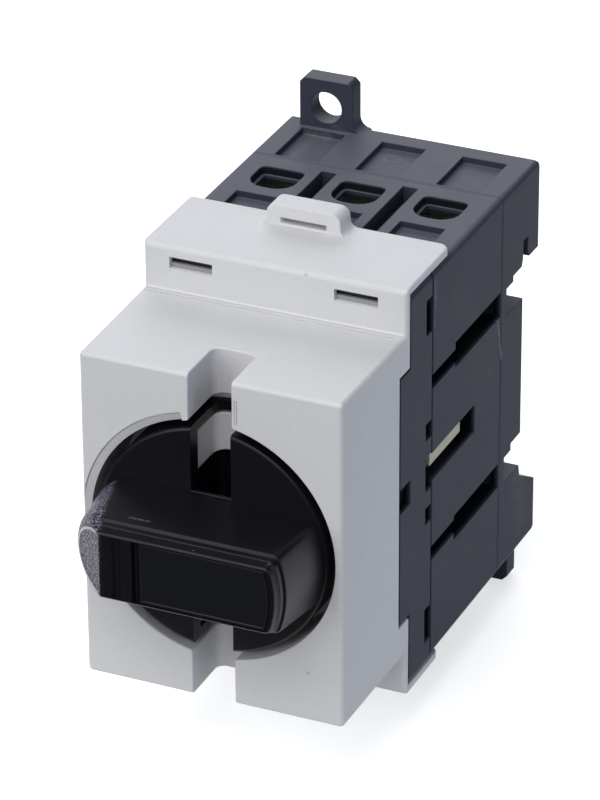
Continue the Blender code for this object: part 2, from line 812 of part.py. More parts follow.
def mechanism_housing(material):
    """Housing behind the cover: mechanism well in front, screw bores above and below."""
    full_front = SHOULDER_DEPTH + FIT_GAP
    housing = rounded_block("mechanism_housing", (full_front, FRONT_SEAM_DEPTH))
    side_z = SIDE_PANEL_HALF_HEIGHT - FIT_GAP
    overlap = full_front + 0.5
    core = box(
        "mechanism_core",
        (-CORE_HALF_WIDTH, CORE_HALF_WIDTH),
        (CORE_FRONT_DEPTH, overlap),
        (-CORE_HALF_HEIGHT, CORE_HALF_HEIGHT),
    )
    flush = box(
        "flush_sides", (-HALF_WIDTH, HALF_WIDTH), (SIDE_PANEL_DEPTH + FIT_GAP, overlap), (-side_z, side_z)
    )
    join(housing, core, flush)
    nose_front = SIDE_PANEL_DEPTH - LATCH_WINDOW_LENGTH + FIT_GAP
    nose_half = LATCH_WINDOW_HEIGHT / 2 - FIT_GAP
    for end, up in ENDS:
        nose_z = up * LATCH_WINDOW_Z
        join(
            housing,
            box(
                "latch_noses_" + end,
                (-HALF_WIDTH + 0.6, HALF_WIDTH - 0.6),
                (nose_front, SIDE_PANEL_DEPTH + 1.0),
                (nose_z - nose_half, nose_z + nose_half),
            ),
        )
    seat = MECHANISM_HALF + BEARING_SEAT
    ledge = BEARING_DEPTH + BEARING_THICKNESS + FIT_GAP
    wall_back = FRONT_SEAM_DEPTH + BEYOND
    arm_x = ARM_HALF_WIDTH + 0.4
    arm_z = ARM_OUTER + 0.4
    cut(
        housing,
        box("bearing_well", (-seat, seat), (CORE_FRONT_DEPTH - BEYOND, ledge), (-seat, seat)),
        box(
            "mechanism_well",
            (-MECHANISM_HALF, MECHANISM_HALF),
            (ledge - 1.0, MECHANISM_BACK_DEPTH),
            (-MECHANISM_HALF, MECHANISM_HALF),
        ),
        depth_rod("drum_hole", DRUM_RADIUS + 0.4, 0, 0, (MECHANISM_BACK_DEPTH - 1.0, wall_back)),
        box("arm_slots", (-arm_x, arm_x), (MECHANISM_BACK_DEPTH - 1.2, wall_back), (-arm_z, arm_z)),
    )
    post_front = crank_front() + CRANK_THICKNESS + 0.6
    for name, _, x, z in spring_post_places():
        post_depth = (post_front, MECHANISM_BACK_DEPTH + 0.5)
        join(housing, depth_rod("spring_post_" + name, SPRING_POST_RADIUS, x, z, post_depth, 12))
    for pole in POLES:
        for end, up in ENDS:
            x, z = pole_x(pole), up * TERMINAL_Z
            name = "%s_%d" % (end, pole + 2)
            head_depth = (full_front - BEYOND, SCREW_LEDGE_DEPTH)
            neck_depth = (SCREW_LEDGE_DEPTH - 1.0, wall_back)
            cut(
                housing,
                depth_rod("head_bore_" + name, SCREW_HEAD_RADIUS + 0.25, x, z, head_depth, 16),
                depth_rod("neck_bore_" + name, SCREW_RADIUS + 0.35, x, z, neck_depth, 16),
            )
    release_length, release_height = RELEASE_RECESS
    middle = (SIDE_WINDOW_LOW + SIDE_WINDOW_HIGH) / 2
    for side in (-1, 1):
        edge = sorted((side * (HALF_WIDTH - SIDE_RECESS_DEPTH), side * (HALF_WIDTH + BEYOND)))
        name = "left" if side < 0 else "right"
        front = SIDE_PANEL_DEPTH
        cut(
            housing,
            box(
                "release_recess_" + name,
                edge,
                (front, front + release_length),
                (middle - release_height / 2, middle + release_height / 2),
            ),
        )
        for number, heights in enumerate(SIDE_RECESSES):
            cut(
                housing,
                box(
                    "seam_recess_%s_%d" % (name, number),
                    edge,
                    (FRONT_SEAM_DEPTH - SIDE_RECESS_LENGTH, wall_back),
                    heights,
                ),
            )
    return finish(housing, material)


def wire_hole_outline(middle):
    """Plan of a wire entry: flat at the back, round at the front."""
    half = WIRE_HOLE_HALF_WIDTH
    front, back = WIRE_HOLE_FRONT_CORNER, WIRE_HOLE_BACK_CORNER
    right = arc((half - front, WIRE_HOLE_FRONT + front), front, -90, 0, 5)
    right += arc((half - back, WIRE_HOLE_BACK - back), back, 0, 90, 2)
    left = [(-x, depth) for x, depth in reversed(right)]
    return [(middle + x, depth) for x, depth in right + left]


def bar_front():
    """Front face of the terminal bars, which the bridges meet at the end of their travel."""
    carrier_back = CARRIER_FRONT_DEPTH + CARRIER_LENGTH
    bridge_face = carrier_back - BRIDGE_SEAT_WALL - FIT_GAP + CONTACT_HEIGHT
    return bridge_face + CONTACT_TRAVEL + FIT_GAP + CONTACT_HEIGHT


def cage_front():
    """Front of an open clamp cage, whose mouth ends behind the wire entry."""
    return WIRE_HOLE_BACK + 0.5 - CAGE_MOUTH - CAGE_NUT


def cage_back():
    return WIRE_HOLE_BACK + 0.5 + CAGE_WALL + 0.3


def pole_housing(material):
    """Block with a pocket for each clamp, each contact pair and the carrier between them."""
    front = FRONT_SEAM_DEPTH + FIT_GAP
    housing = rounded_block("pole_housing", (front, REAR_SEAM_DEPTH))
    pocket_front = front - BEYOND
    floor = CARRIER_FRONT_DEPTH + CARRIER_LENGTH + CONTACT_TRAVEL + 0.5
    bar_floor = bar_front() + BAR_THICKNESS + FIT_GAP
    terminal_low = TERMINAL_Z - CAGE_HALF_HEIGHT - FIT_GAP
    terminal_high = TERMINAL_Z + CAGE_HALF_HEIGHT + FIT_GAP
    bar_x = BAR_HALF_WIDTH + FIT_GAP
    carrier_x = CARRIER_HALF_WIDTH + FIT_GAP
    carrier_z = CARRIER_HALF_HEIGHT + FIT_GAP
    cut(
        housing,
        box("carrier_pocket", (-carrier_x, carrier_x), (pocket_front, floor), (-carrier_z, carrier_z)),
        box(
            "side_windows",
            (-HALF_WIDTH - BEYOND, HALF_WIDTH + BEYOND),
            (pocket_front - 0.5, SIDE_WINDOW_BACK),
            (SIDE_WINDOW_LOW, SIDE_WINDOW_HIGH),
        ),
    )
    for pole in POLES:
        x = pole_x(pole)
        cut(
            housing,
            box(
                "contact_pocket_%d" % (pole + 2),
                (x - POCKET_HALF_WIDTH, x + POCKET_HALF_WIDTH),
                (pocket_front - 0.2, floor - 0.1),
                (-CONTACT_POCKET_HALF_HEIGHT, CONTACT_POCKET_HALF_HEIGHT),
            ),
        )
        for end, up in ENDS:
            name = "%s_%d" % (end, pole + 2)
            cut(
                housing,
                box(
                    "clamp_pocket_" + name,
                    (x - POCKET_HALF_WIDTH, x + POCKET_HALF_WIDTH),
                    (pocket_front - 0.3, cage_back() + FIT_GAP),
                    sorted((up * terminal_low, up * terminal_high)),
                ),
                box(
                    "bar_slot_" + name,
                    (x - bar_x, x + bar_x),
                    (pocket_front - 0.4, bar_floor),
                    sorted((up * (CONTACT_POCKET_HALF_HEIGHT - 1.0), up * (terminal_low + 1.0))),
                ),
                extrusion(
                    "wire_entry_" + name,
                    wire_hole_outline(x),
                    sorted((up * (terminal_high - 1.0), up * (HALF_HEIGHT + BEYOND))),
                    PLAN_VIEW,
                ),
                box(
                    "front_recess_" + name,
                    (x - RECESS_HALF_WIDTH, x + RECESS_HALF_WIDTH),
                    FRONT_RECESS,
                    sorted((up * (HALF_HEIGHT - RECESS_DEPTH), up * (HALF_HEIGHT + BEYOND))),
                ),
            )
    for side in (-1, 1):
        between = side * POLE_PITCH / 2
        name = "left" if side < 0 else "right"
        edge = sorted((side * (HALF_WIDTH - SIDE_GROOVE_DEPTH), side * (HALF_WIDTH + BEYOND)))
        for end, up in ENDS:
            cut(
                housing,
                box(
                    "barrier_groove_%s_%s" % (end, name),
                    (between - BARRIER_WIDTH / 2, between + BARRIER_WIDTH / 2),
                    (pocket_front - 0.6, BARRIER_BACK),
                    sorted((up * (HALF_HEIGHT - BARRIER_DEPTH), up * (HALF_HEIGHT + BEYOND))),
                ),
                box(
                    "narrow_groove_%s_%s" % (end, name),
                    edge,
                    (pocket_front - 0.7, NARROW_GROOVE_BACK + 0.5),
                    sorted(up * z for z in NARROW_GROOVE),
                ),
                box(
                    "wide_groove_%s_%s" % (end, name),
                    edge,
                    (NARROW_GROOVE_BACK, REAR_SEAM_DEPTH + BEYOND),
                    sorted(up * z for z in WIDE_GROOVE),
                ),
            )
    return finish(housing, material)


def terminal_bar(name, x, up, material):
    """Fixed contact strip that runs from the contact pocket into the clamp cage."""
    outer_z = TERMINAL_Z + CAGE_HALF_HEIGHT
    face = bar_front()
    bar = box(
        name,
        (x - BAR_HALF_WIDTH, x + BAR_HALF_WIDTH),
        (face, face + BAR_THICKNESS),
        sorted((up * BAR_INNER_Z, up * outer_z)),
    )
    button_depth = (face - CONTACT_HEIGHT, face + 0.2)
    join(bar, depth_rod(name + "_button", CONTACT_RADIUS, x, up * CONTACT_PLACE, button_depth, 16))
    return finish(bar, material)


def clamp_cage(name, x, up, material):
    """Ring around the terminal bar; its thick front wall is the nut on the terminal screw."""
    low, high = sorted((up * (TERMINAL_Z - CAGE_HALF_HEIGHT), up * (TERMINAL_Z + CAGE_HALF_HEIGHT)))
    front, back = cage_front(), cage_back()
    cage = box(name, (x - CAGE_HALF_WIDTH, x + CAGE_HALF_WIDTH), (front, back), (low, high))
    inner = CAGE_HALF_WIDTH - CAGE_WALL
    cut(
        cage,
        box(
            name + "_mouth",
            (x - inner, x + inner),
            (front + CAGE_NUT, back - CAGE_WALL - 0.3),
            (low - BEYOND, high + BEYOND),
        ),
        depth_rod(
            name + "_thread", SCREW_RADIUS + 0.15, x, up * TERMINAL_Z, (front - BEYOND, front + CAGE_NUT + 1.0), 16
        ),
    )
    return finish(cage, material, place(x, front, up * TERMINAL_Z))


def terminal_screw(name, x, up, material):
    """Slotted screw, held by its head in the housing and by its tip at the bar."""
    z = up * TERMINAL_Z
    head_back = SCREW_HEAD_DEPTH + SCREW_HEAD_HEIGHT
    screw = depth_rod(name, SCREW_HEAD_RADIUS, x, z, (SCREW_HEAD_DEPTH, head_back), SMALL_STEPS)
    tip = bar_front() - FIT_GAP
    join(screw, depth_rod(name + "_shank", SCREW_RADIUS, x, z, (head_back - 0.2, tip), 16))
    width, depth = SCREW_SLOT
    reach = SCREW_HEAD_RADIUS + 1.0
    cut(
        screw,
        box(
            name + "_slot",
            (x - reach, x + reach),
            (SCREW_HEAD_DEPTH - 1.0, SCREW_HEAD_DEPTH + depth),
            (z - width / 2, z + width / 2),
        ),
    )
    return finish(screw, material, place(x, SCREW_HEAD_DEPTH, z))


def terminals(copper, plated, steel):
    for pole in POLES:
        for end, up in ENDS:
            name = "%s_%d" % (end, pole + 2)
            terminal_bar("terminal_bar_" + name, pole_x(pole), up, copper)
            clamp_cage("clamp_cage_" + name, pole_x(pole), up, plated)
            terminal_screw("terminal_screw_" + name, pole_x(pole), up, steel)


def contact_carrier(material):
    """Cross bar that holds the bridges, with lugs in the side windows and arms to the cam drum."""
    back = CARRIER_FRONT_DEPTH + CARRIER_LENGTH
    carrier = box(
        "contact_carrier",
        (-CARRIER_HALF_WIDTH, CARRIER_HALF_WIDTH),
        (CARRIER_FRONT_DEPTH, back),
        (-CARRIER_HALF_HEIGHT, CARRIER_HALF_HEIGHT),
    )
    lugs = box("carrier_lugs", (-LUG_HALF_WIDTH, LUG_HALF_WIDTH), (CARRIER_FRONT_DEPTH, back), (LUG_LOW, LUG_HIGH))
    bridge_wall = CARRIER_FRONT_DEPTH + CARRIER_FRONT_WALL
    cross = box(
        "carrier_cross",
        (-ARM_HALF_WIDTH, ARM_HALF_WIDTH),
        (CARRIER_FRONT_DEPTH, bridge_wall),
        (-ARM_OUTER, ARM_OUTER),
    )
    join(carrier, lugs, cross)
    arm_front = FOLLOWER_DEPTH - FOLLOWER_RADIUS - 0.25
    arm_inner = DRUM_RADIUS + 0.9
    pin_inner = DRUM_RADIUS - GROOVE_RADIUS + 0.35
    for end, up in ENDS:
        join(
            carrier,
            box(
                "carrier_arm_" + end,
                (-ARM_HALF_WIDTH, ARM_HALF_WIDTH),
                (arm_front, CARRIER_FRONT_DEPTH + 0.5),
                sorted((up * arm_inner, up * ARM_OUTER)),
            ),
            rod(
                "cam_follower_" + end,
                FOLLOWER_RADIUS,
                place(0, FOLLOWER_DEPTH, up * pin_inner),
                place(0, FOLLOWER_DEPTH, up * (arm_inner + 0.3)),
                12,
            ),
        )
    for pole in POLES:
        x = pole_x(pole)
        half = BRIDGE_HALF_WIDTH + FIT_GAP
        cut(
            carrier,
            box(
                "bridge_window_%d" % (pole + 2),
                (x - half, x + half),
                (bridge_wall, back - BRIDGE_SEAT_WALL),
                (-CARRIER_HALF_HEIGHT - BEYOND, CARRIER_HALF_HEIGHT + BEYOND),
            ),
        )
    return finish(carrier, material, place(0, CARRIER_FRONT_DEPTH, 0))


def contact_bridges(copper, steel):
    """Moving bridges with a contact at each end, each pressed back by its own spring."""
    back = CARRIER_FRONT_DEPTH + CARRIER_LENGTH - BRIDGE_SEAT_WALL - FIT_GAP
    front = back - BRIDGE_THICKNESS
    seat = CARRIER_FRONT_DEPTH + CARRIER_FRONT_WALL
    for pole in POLES:
        x, number = pole_x(pole), pole + 2
        bridge = box(
            "contact_bridge_%d" % number,
            (x - BRIDGE_HALF_WIDTH, x + BRIDGE_HALF_WIDTH),
            (front, back),
            (-BRIDGE_HALF_LENGTH, BRIDGE_HALF_LENGTH),
        )
        for end, up in ENDS:
            button_depth = (back - 0.2, back + CONTACT_HEIGHT)
            name = "bridge_contact_%s_%d" % (end, number)
            join(bridge, depth_rod(name, CONTACT_RADIUS, x, up * CONTACT_PLACE, button_depth, 16))
        finish(bridge, copper, place(x, front, 0))
        slack = FIT_GAP + CONTACT_WIRE
        ends = (place(x, seat + slack, 0), place(x, front - slack, 0))
        spring = coil("contact_spring_%d" % number, ends, CONTACT_SPRING_RADIUS, CONTACT_WIRE, 4)
        finish(spring, steel)


def ear(name, side, up):
    """Fixing ear with its hole, clipped corners and the fillet at its inner foot."""
    foot = HALF_HEIGHT - 1.0
    chamfer = EAR_CHAMFER
    outline = [
        (EAR_OUTER, foot),
        (EAR_OUTER, EAR_REACH - chamfer),
        (EAR_OUTER - chamfer, EAR_REACH),
        (EAR_INNER + chamfer, EAR_REACH),
        (EAR_INNER, EAR_REACH - chamfer),
        *arc((EAR_INNER - EAR_FILLET, HALF_HEIGHT + EAR_FILLET), EAR_FILLET, 0, -90, 4),
        (EAR_INNER - EAR_FILLET, foot),
    ]
    plate = extrusion(name, [(side * x, up * z) for x, z in outline], (-BACK_DEPTH, -EAR_FRONT_DEPTH), FRONT_VIEW)
    return plate


def ear_hole(name, side, up):
    middle = (EAR_INNER + EAR_OUTER) / 2
    depth = (EAR_FRONT_DEPTH - BEYOND, BACK_DEPTH + BEYOND)
    return depth_rod(name, EAR_HOLE_RADIUS, side * middle, up * (EAR_REACH - EAR_HOLE_DROP), depth, 24)


def base_outline():
    """Side view of the base: rail hook above, seat in the middle, jaw with the clip below."""
    front = REAR_SEAM_DEPTH + FIT_GAP
    lip = SEAT_DEPTH + RAIL_FLANGE_ROOM
    floor = GAP_FLOOR_DEPTH
    upper_step, upper_block = UPPER_STEP
    lower_step, lower_ledge = LOWER_STEP
    top_corner = (BACK_DEPTH - EDGE_ROUNDING, HALF_HEIGHT - EDGE_ROUNDING)
    bottom_corner = (BACK_DEPTH - EDGE_ROUNDING, EDGE_ROUNDING - HALF_HEIGHT)
    return [
        (front, HALF_HEIGHT),
        *arc(top_corner, EDGE_ROUNDING, 90, 0, 3),
        (BACK_DEPTH, HOOK_MOUTH),
        (lip + 0.6, HOOK_MOUTH),
        (lip, HOOK_MOUTH + 0.8),
        (lip, HOOK_TOP),
        (SEAT_DEPTH, HOOK_TOP),
        (SEAT_DEPTH, HOOK_MOUTH + 0.8),
        (SEAT_DEPTH - 0.4, upper_block),
        (upper_step, upper_block),
        (upper_step, UPPER_GAP[1]),
        (floor, UPPER_GAP[1]),
        (floor, UPPER_GAP[0]),
        (SEAT_DEPTH, UPPER_GAP[0]),
        (SEAT_DEPTH, LOWER_GAP[1]),
        (lower_step, LOWER_GAP[1]),
        (lower_step, lower_ledge),
        (floor, lower_ledge),
        (floor, LOWER_GAP[0]),
        (SEAT_DEPTH - 0.4, LOWER_GAP[0]),
        (SEAT_DEPTH, LOWER_JAW_Z),
        (BACK_DEPTH, LOWER_JAW_BACK_Z),
        *arc(bottom_corner, EDGE_ROUNDING, 0, -90, 3),
        (front, -HALF_HEIGHT),
    ]


def base_housing(material):
    """Rear part of the body, with the rail hook, the clip's channel and the two fixing ears."""
    base = extrusion("base_housing", base_outline(), (-HALF_WIDTH, HALF_WIDTH), SIDE_VIEW)
    boolean(base, rounded_block("base_corners", (REAR_SEAM_DEPTH - BEYOND, BACK_DEPTH + BEYOND)), "INTERSECT")
    join(base, ear("ear_top", -1, 1), ear("ear_bottom", 1, -1))
    cut(base, ear_hole("ear_hole_top", -1, 1), ear_hole("ear_hole_bottom", 1, -1))
    front = REAR_SEAM_DEPTH + FIT_GAP - BEYOND
    inner_x = HALF_WIDTH - 2.0
    cut(
        base,
        box("core_middle", (-inner_x, inner_x), (front, SEAT_DEPTH - 2.0), (-7.5, 7.5)),
        box("core_top", (-inner_x, inner_x), (front, SEAT_DEPTH - 1.9), (CORE_INNER_Z, HALF_HEIGHT - 2.4)),
        box("core_bottom", (-inner_x, inner_x), (front, SEAT_DEPTH - 1.8), (-HALF_HEIGHT + 2.4, -CORE_INNER_Z)),
    )
    channel_x = CLIP_HALF_WIDTH + FIT_GAP
    rib_x = channel_x + CLIP_RIB
    rib_front, rib_back = clip_rib_depths()
    cut(
        base,
        box(
            "clip_channel",
            (-channel_x, channel_x),
            (CLIP_FRONT_DEPTH - FIT_GAP, BACK_DEPTH + BEYOND),
            (-HALF_HEIGHT - BEYOND, LOWER_GAP[0] + 1.0),
        ),
        box(
            "clip_grooves",
            (-rib_x, rib_x),
            (rib_front - FIT_GAP, rib_back + FIT_GAP),
            (-HALF_HEIGHT - BEYOND, CLIP_JAW_Z),
        ),
    )
    lug_x = CLIP_SPRING_RADIUS + CLIP_WIRE
    join(
        base,
        box("clip_spring_lug", (-lug_x, lug_x), (CLIP_FRONT_DEPTH - 1.0, CLIP_BACK_DEPTH - 0.8), SPRING_LUG),
    )
    for pole in POLES:
        x = pole_x(pole)
        for end, up in ENDS:
            cut(
                base,
                box(
                    "rear_recess_%s_%d" % (end, pole + 2),
                    (x - RECESS_HALF_WIDTH, x + RECESS_HALF_WIDTH),
                    REAR_RECESS,
                    sorted((up * (HALF_HEIGHT - RECESS_DEPTH), up * (HALF_HEIGHT + BEYOND / 2))),
                ),
            )
    return finish(base, material)


def clip_rib_depths():
    return CLIP_FRONT_DEPTH + 0.7, CLIP_FRONT_DEPTH + 2.1


def rail_clip(material):
    """Sprung jaw that slides down to free the rail."""
    lip = SEAT_DEPTH + RAIL_FLANGE_ROOM
    outline = [
        (CLIP_FRONT_DEPTH, CLIP_JAW_Z),
        (lip, CLIP_JAW_Z),
        (lip, CLIP_LIP_Z - 0.4),
        (lip + 0.6, CLIP_LIP_Z),
        (CLIP_BACK_DEPTH, CLIP_JAW_Z - 1.0),
        (CLIP_BACK_DEPTH, CLIP_BOTTOM_Z),
        (CLIP_FRONT_DEPTH, CLIP_BOTTOM_Z),
    ]
    clip = extrusion("rail_clip", outline, (-CLIP_HALF_WIDTH, CLIP_HALF_WIDTH), SIDE_VIEW)
    rib_x = CLIP_HALF_WIDTH + CLIP_RIB
    rib_top = CLIP_JAW_Z - FIT_GAP
    join(clip, box("clip_ribs", (-rib_x, rib_x), clip_rib_depths(), (rib_top - 7.0, rib_top)))
    window_x = CLIP_SPRING_RADIUS + CLIP_WIRE + FIT_GAP
    cut(
        clip,
        box(
            "clip_window", (-window_x, window_x), (CLIP_FRONT_DEPTH - 1.0, CLIP_BACK_DEPTH + 1.0), CLIP_WINDOW
        ),
        box(
            "clip_pull_slot",
            (-2.5, 2.5),
            (CLIP_FRONT_DEPTH - 1.0, CLIP_BACK_DEPTH + 1.0),
            (CLIP_BOTTOM_Z + 1.1, CLIP_BOTTOM_Z + 2.4),
        ),
    )
    return finish(clip, material, place(0, CLIP_FRONT_DEPTH, CLIP_JAW_Z))


def rail_clip_spring(material):
    depth = (CLIP_FRONT_DEPTH + CLIP_BACK_DEPTH) / 2
    slack = FIT_GAP + CLIP_WIRE
    ends = (place(0, depth, SPRING_LUG[1] + slack), place(0, depth, CLIP_WINDOW[1] - slack))
    return finish(coil("rail_clip_spring", ends, CLIP_SPRING_RADIUS, CLIP_WIRE, 4), material)


def build():
    light = new_material("light_grey_plastic", (0.60, 0.61, 0.62), 0.55)
    dark = new_material("dark_grey_plastic", (0.055, 0.065, 0.08), 0.6)
    black = new_material("black_plastic", (0.012, 0.012, 0.013), 0.35)
    label = new_material("black_label", (0.008, 0.008, 0.009), 0.25)
    cream = new_material("cream_thermoset", (0.70, 0.66, 0.52), 0.6)
    steel = new_material("zinc_plated_steel", (0.62, 0.62, 0.60), 0.35, 1.0)
    spring_steel = new_material("spring_steel", (0.45, 0.45, 0.46), 0.3, 1.0)
    copper = new_material("tinned_copper", (0.62, 0.47, 0.36), 0.3, 1.0)
    front_cover(light)
    knob_axis = axis_empty("knob_axis", knob_axis_point(0))
    knob(black, knob_axis)
    knob_label(label, knob_axis)
    spindle(cream, knob_axis)
    bearing_plate(dark)
    toggle_springs(spring_steel)
    mechanism_housing(dark)
    pole_housing(dark)
    contact_carrier(cream)
    contact_bridges(copper, spring_steel)
    terminals(copper, steel, steel)
    base_housing(dark)
    rail_clip(black)
    rail_clip_spring(spring_steel)


for old in list(bpy.data.objects):
    bpy.data.objects.remove(old)
model = new_collection("din_rail_switch_disconnector")
tools = new_collection("cutters")
build()
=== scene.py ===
"""Dressed model of a three-pole DIN rail switch disconnector with a rotary knob.

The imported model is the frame. The light grey front cover, the knob with its label, and the dark
housings are built again here with moulded edges and fine detail; every other piece keeps its solid
and gets a finish. Lengths are in millimetres: x to the right, depth backwards from the cover's
front face, z upwards.
"""

import json
import logging
import math
from dataclasses import dataclass
from enum import Enum
from typing import Callable, Sequence

import bmesh
import bpy
from mathutils import Euler, Matrix, Vector

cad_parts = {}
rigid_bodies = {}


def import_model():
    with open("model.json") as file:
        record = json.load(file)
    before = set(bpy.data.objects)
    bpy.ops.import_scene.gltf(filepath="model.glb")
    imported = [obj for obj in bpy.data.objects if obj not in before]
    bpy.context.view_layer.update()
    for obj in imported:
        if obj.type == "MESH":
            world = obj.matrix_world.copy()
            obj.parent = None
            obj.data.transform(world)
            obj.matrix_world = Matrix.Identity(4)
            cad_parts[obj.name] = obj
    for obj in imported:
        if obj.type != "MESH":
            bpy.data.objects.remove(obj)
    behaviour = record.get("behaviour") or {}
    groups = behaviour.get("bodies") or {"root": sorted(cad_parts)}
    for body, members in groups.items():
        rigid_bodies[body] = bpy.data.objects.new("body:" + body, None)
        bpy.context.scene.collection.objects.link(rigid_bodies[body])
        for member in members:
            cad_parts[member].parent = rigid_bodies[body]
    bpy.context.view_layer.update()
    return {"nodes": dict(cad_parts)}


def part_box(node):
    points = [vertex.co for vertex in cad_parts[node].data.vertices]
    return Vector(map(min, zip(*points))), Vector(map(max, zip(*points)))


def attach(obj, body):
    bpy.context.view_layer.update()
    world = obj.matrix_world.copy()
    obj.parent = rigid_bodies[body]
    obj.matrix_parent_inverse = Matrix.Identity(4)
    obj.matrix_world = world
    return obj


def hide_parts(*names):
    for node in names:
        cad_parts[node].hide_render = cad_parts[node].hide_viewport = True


LOG = logging.getLogger("switch_disconnector")
MM = 0.001
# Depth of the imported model's zero plane behind the cover's face.
SEAT_DEPTH = 57.7
# How far a cutter reaches past what it cuts.
BEYOND = 3.0
# Points closer than this many metres are one point.
MERGE = 2e-6
# Sizes closer than this count as the same.
TOUCH = 0.01
WEIGHTS = "bevel_weight_edge"

Point = tuple[float, float]
Span = tuple[float, float]
Triple = tuple[float, float, float]
Outline = list[Point]
Steps = tuple[Point, ...]
Socket = bpy.types.NodeSocket
EdgeTest = Callable[[Vector, Vector], bool]
EdgeShare = Callable[[Vector, Vector], float]


def spot(x: float, depth: float, z: float) -> Vector:
    """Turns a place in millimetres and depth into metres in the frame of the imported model."""
    return Vector((x, depth - SEAT_DEPTH, z)) * MM


def reading(place: Vector) -> Vector:
    """Turns a place in metres back into millimetres and depth."""
    return Vector((place.x / MM, place.y / MM + SEAT_DEPTH, place.z / MM))


def arc(centre: Point, radius: float, start: float, end: float, steps: int) -> Outline:
    """Lists the points of an arc between two angles in degrees, first and last included."""
    angles = (math.radians(start + (end - start) * i / steps) for i in range(steps + 1))
    return [(centre[0] + radius * math.cos(a), centre[1] + radius * math.sin(a)) for a in angles]


def mirrored(half: Outline) -> Outline:
    """Completes an outline with its mirror image to the left."""
    return half + [(-x, y) for x, y in reversed(half)]


def rounded_rectangle(half_x: float, half_z: float, corner: float) -> Outline:
    """Lists the points of a rectangle with round corners.

    Args:
        half_x: Half its width.
        half_z: Half its height.
        corner: Radius of its corners.

    Returns:
        The points in order.
    """
    x, z = half_x - corner, half_z - corner
    corners = ((x, z, 0), (-x, z, 90), (-x, -z, 180), (x, -z, 270))
    return [point for a, b, turn in corners for point in arc((a, b), corner, turn, turn + 90, 4)]


def merge_faces(bm: bmesh.types.BMesh, angle: float, distance: float = MERGE) -> None:
    """Merges double points and dissolves the edges between faces in one plane.

    Args:
        bm: The geometry.
        angle: Neighbours that turn by less than this many degrees become one face.
        distance: Points closer than this many metres become one.
    """
    bmesh.ops.remove_doubles(bm, verts=bm.verts, dist=distance)
    bmesh.ops.dissolve_limit(bm, angle_limit=math.radians(angle), verts=bm.verts, edges=bm.edges)


class View(Enum):
    """Which way an outline faces: its first and second axes, and the way that it is thickened."""

    SIDE = ((0, 1, 0), (0, 0, 1), (1, 0, 0))
    FRONT = ((1, 0, 0), (0, 0, 1), (0, 1, 0))
    PLAN = ((1, 0, 0), (0, 1, 0), (0, 0, 1))

    def point(self, first: float, second: float, third: float) -> Vector:
        """Returns the place in metres of a point of the outline at a distance along the third axis."""
        a, b, c = (Vector(axis) for axis in self.value)
        return spot(*(a * first + b * second + c * third))


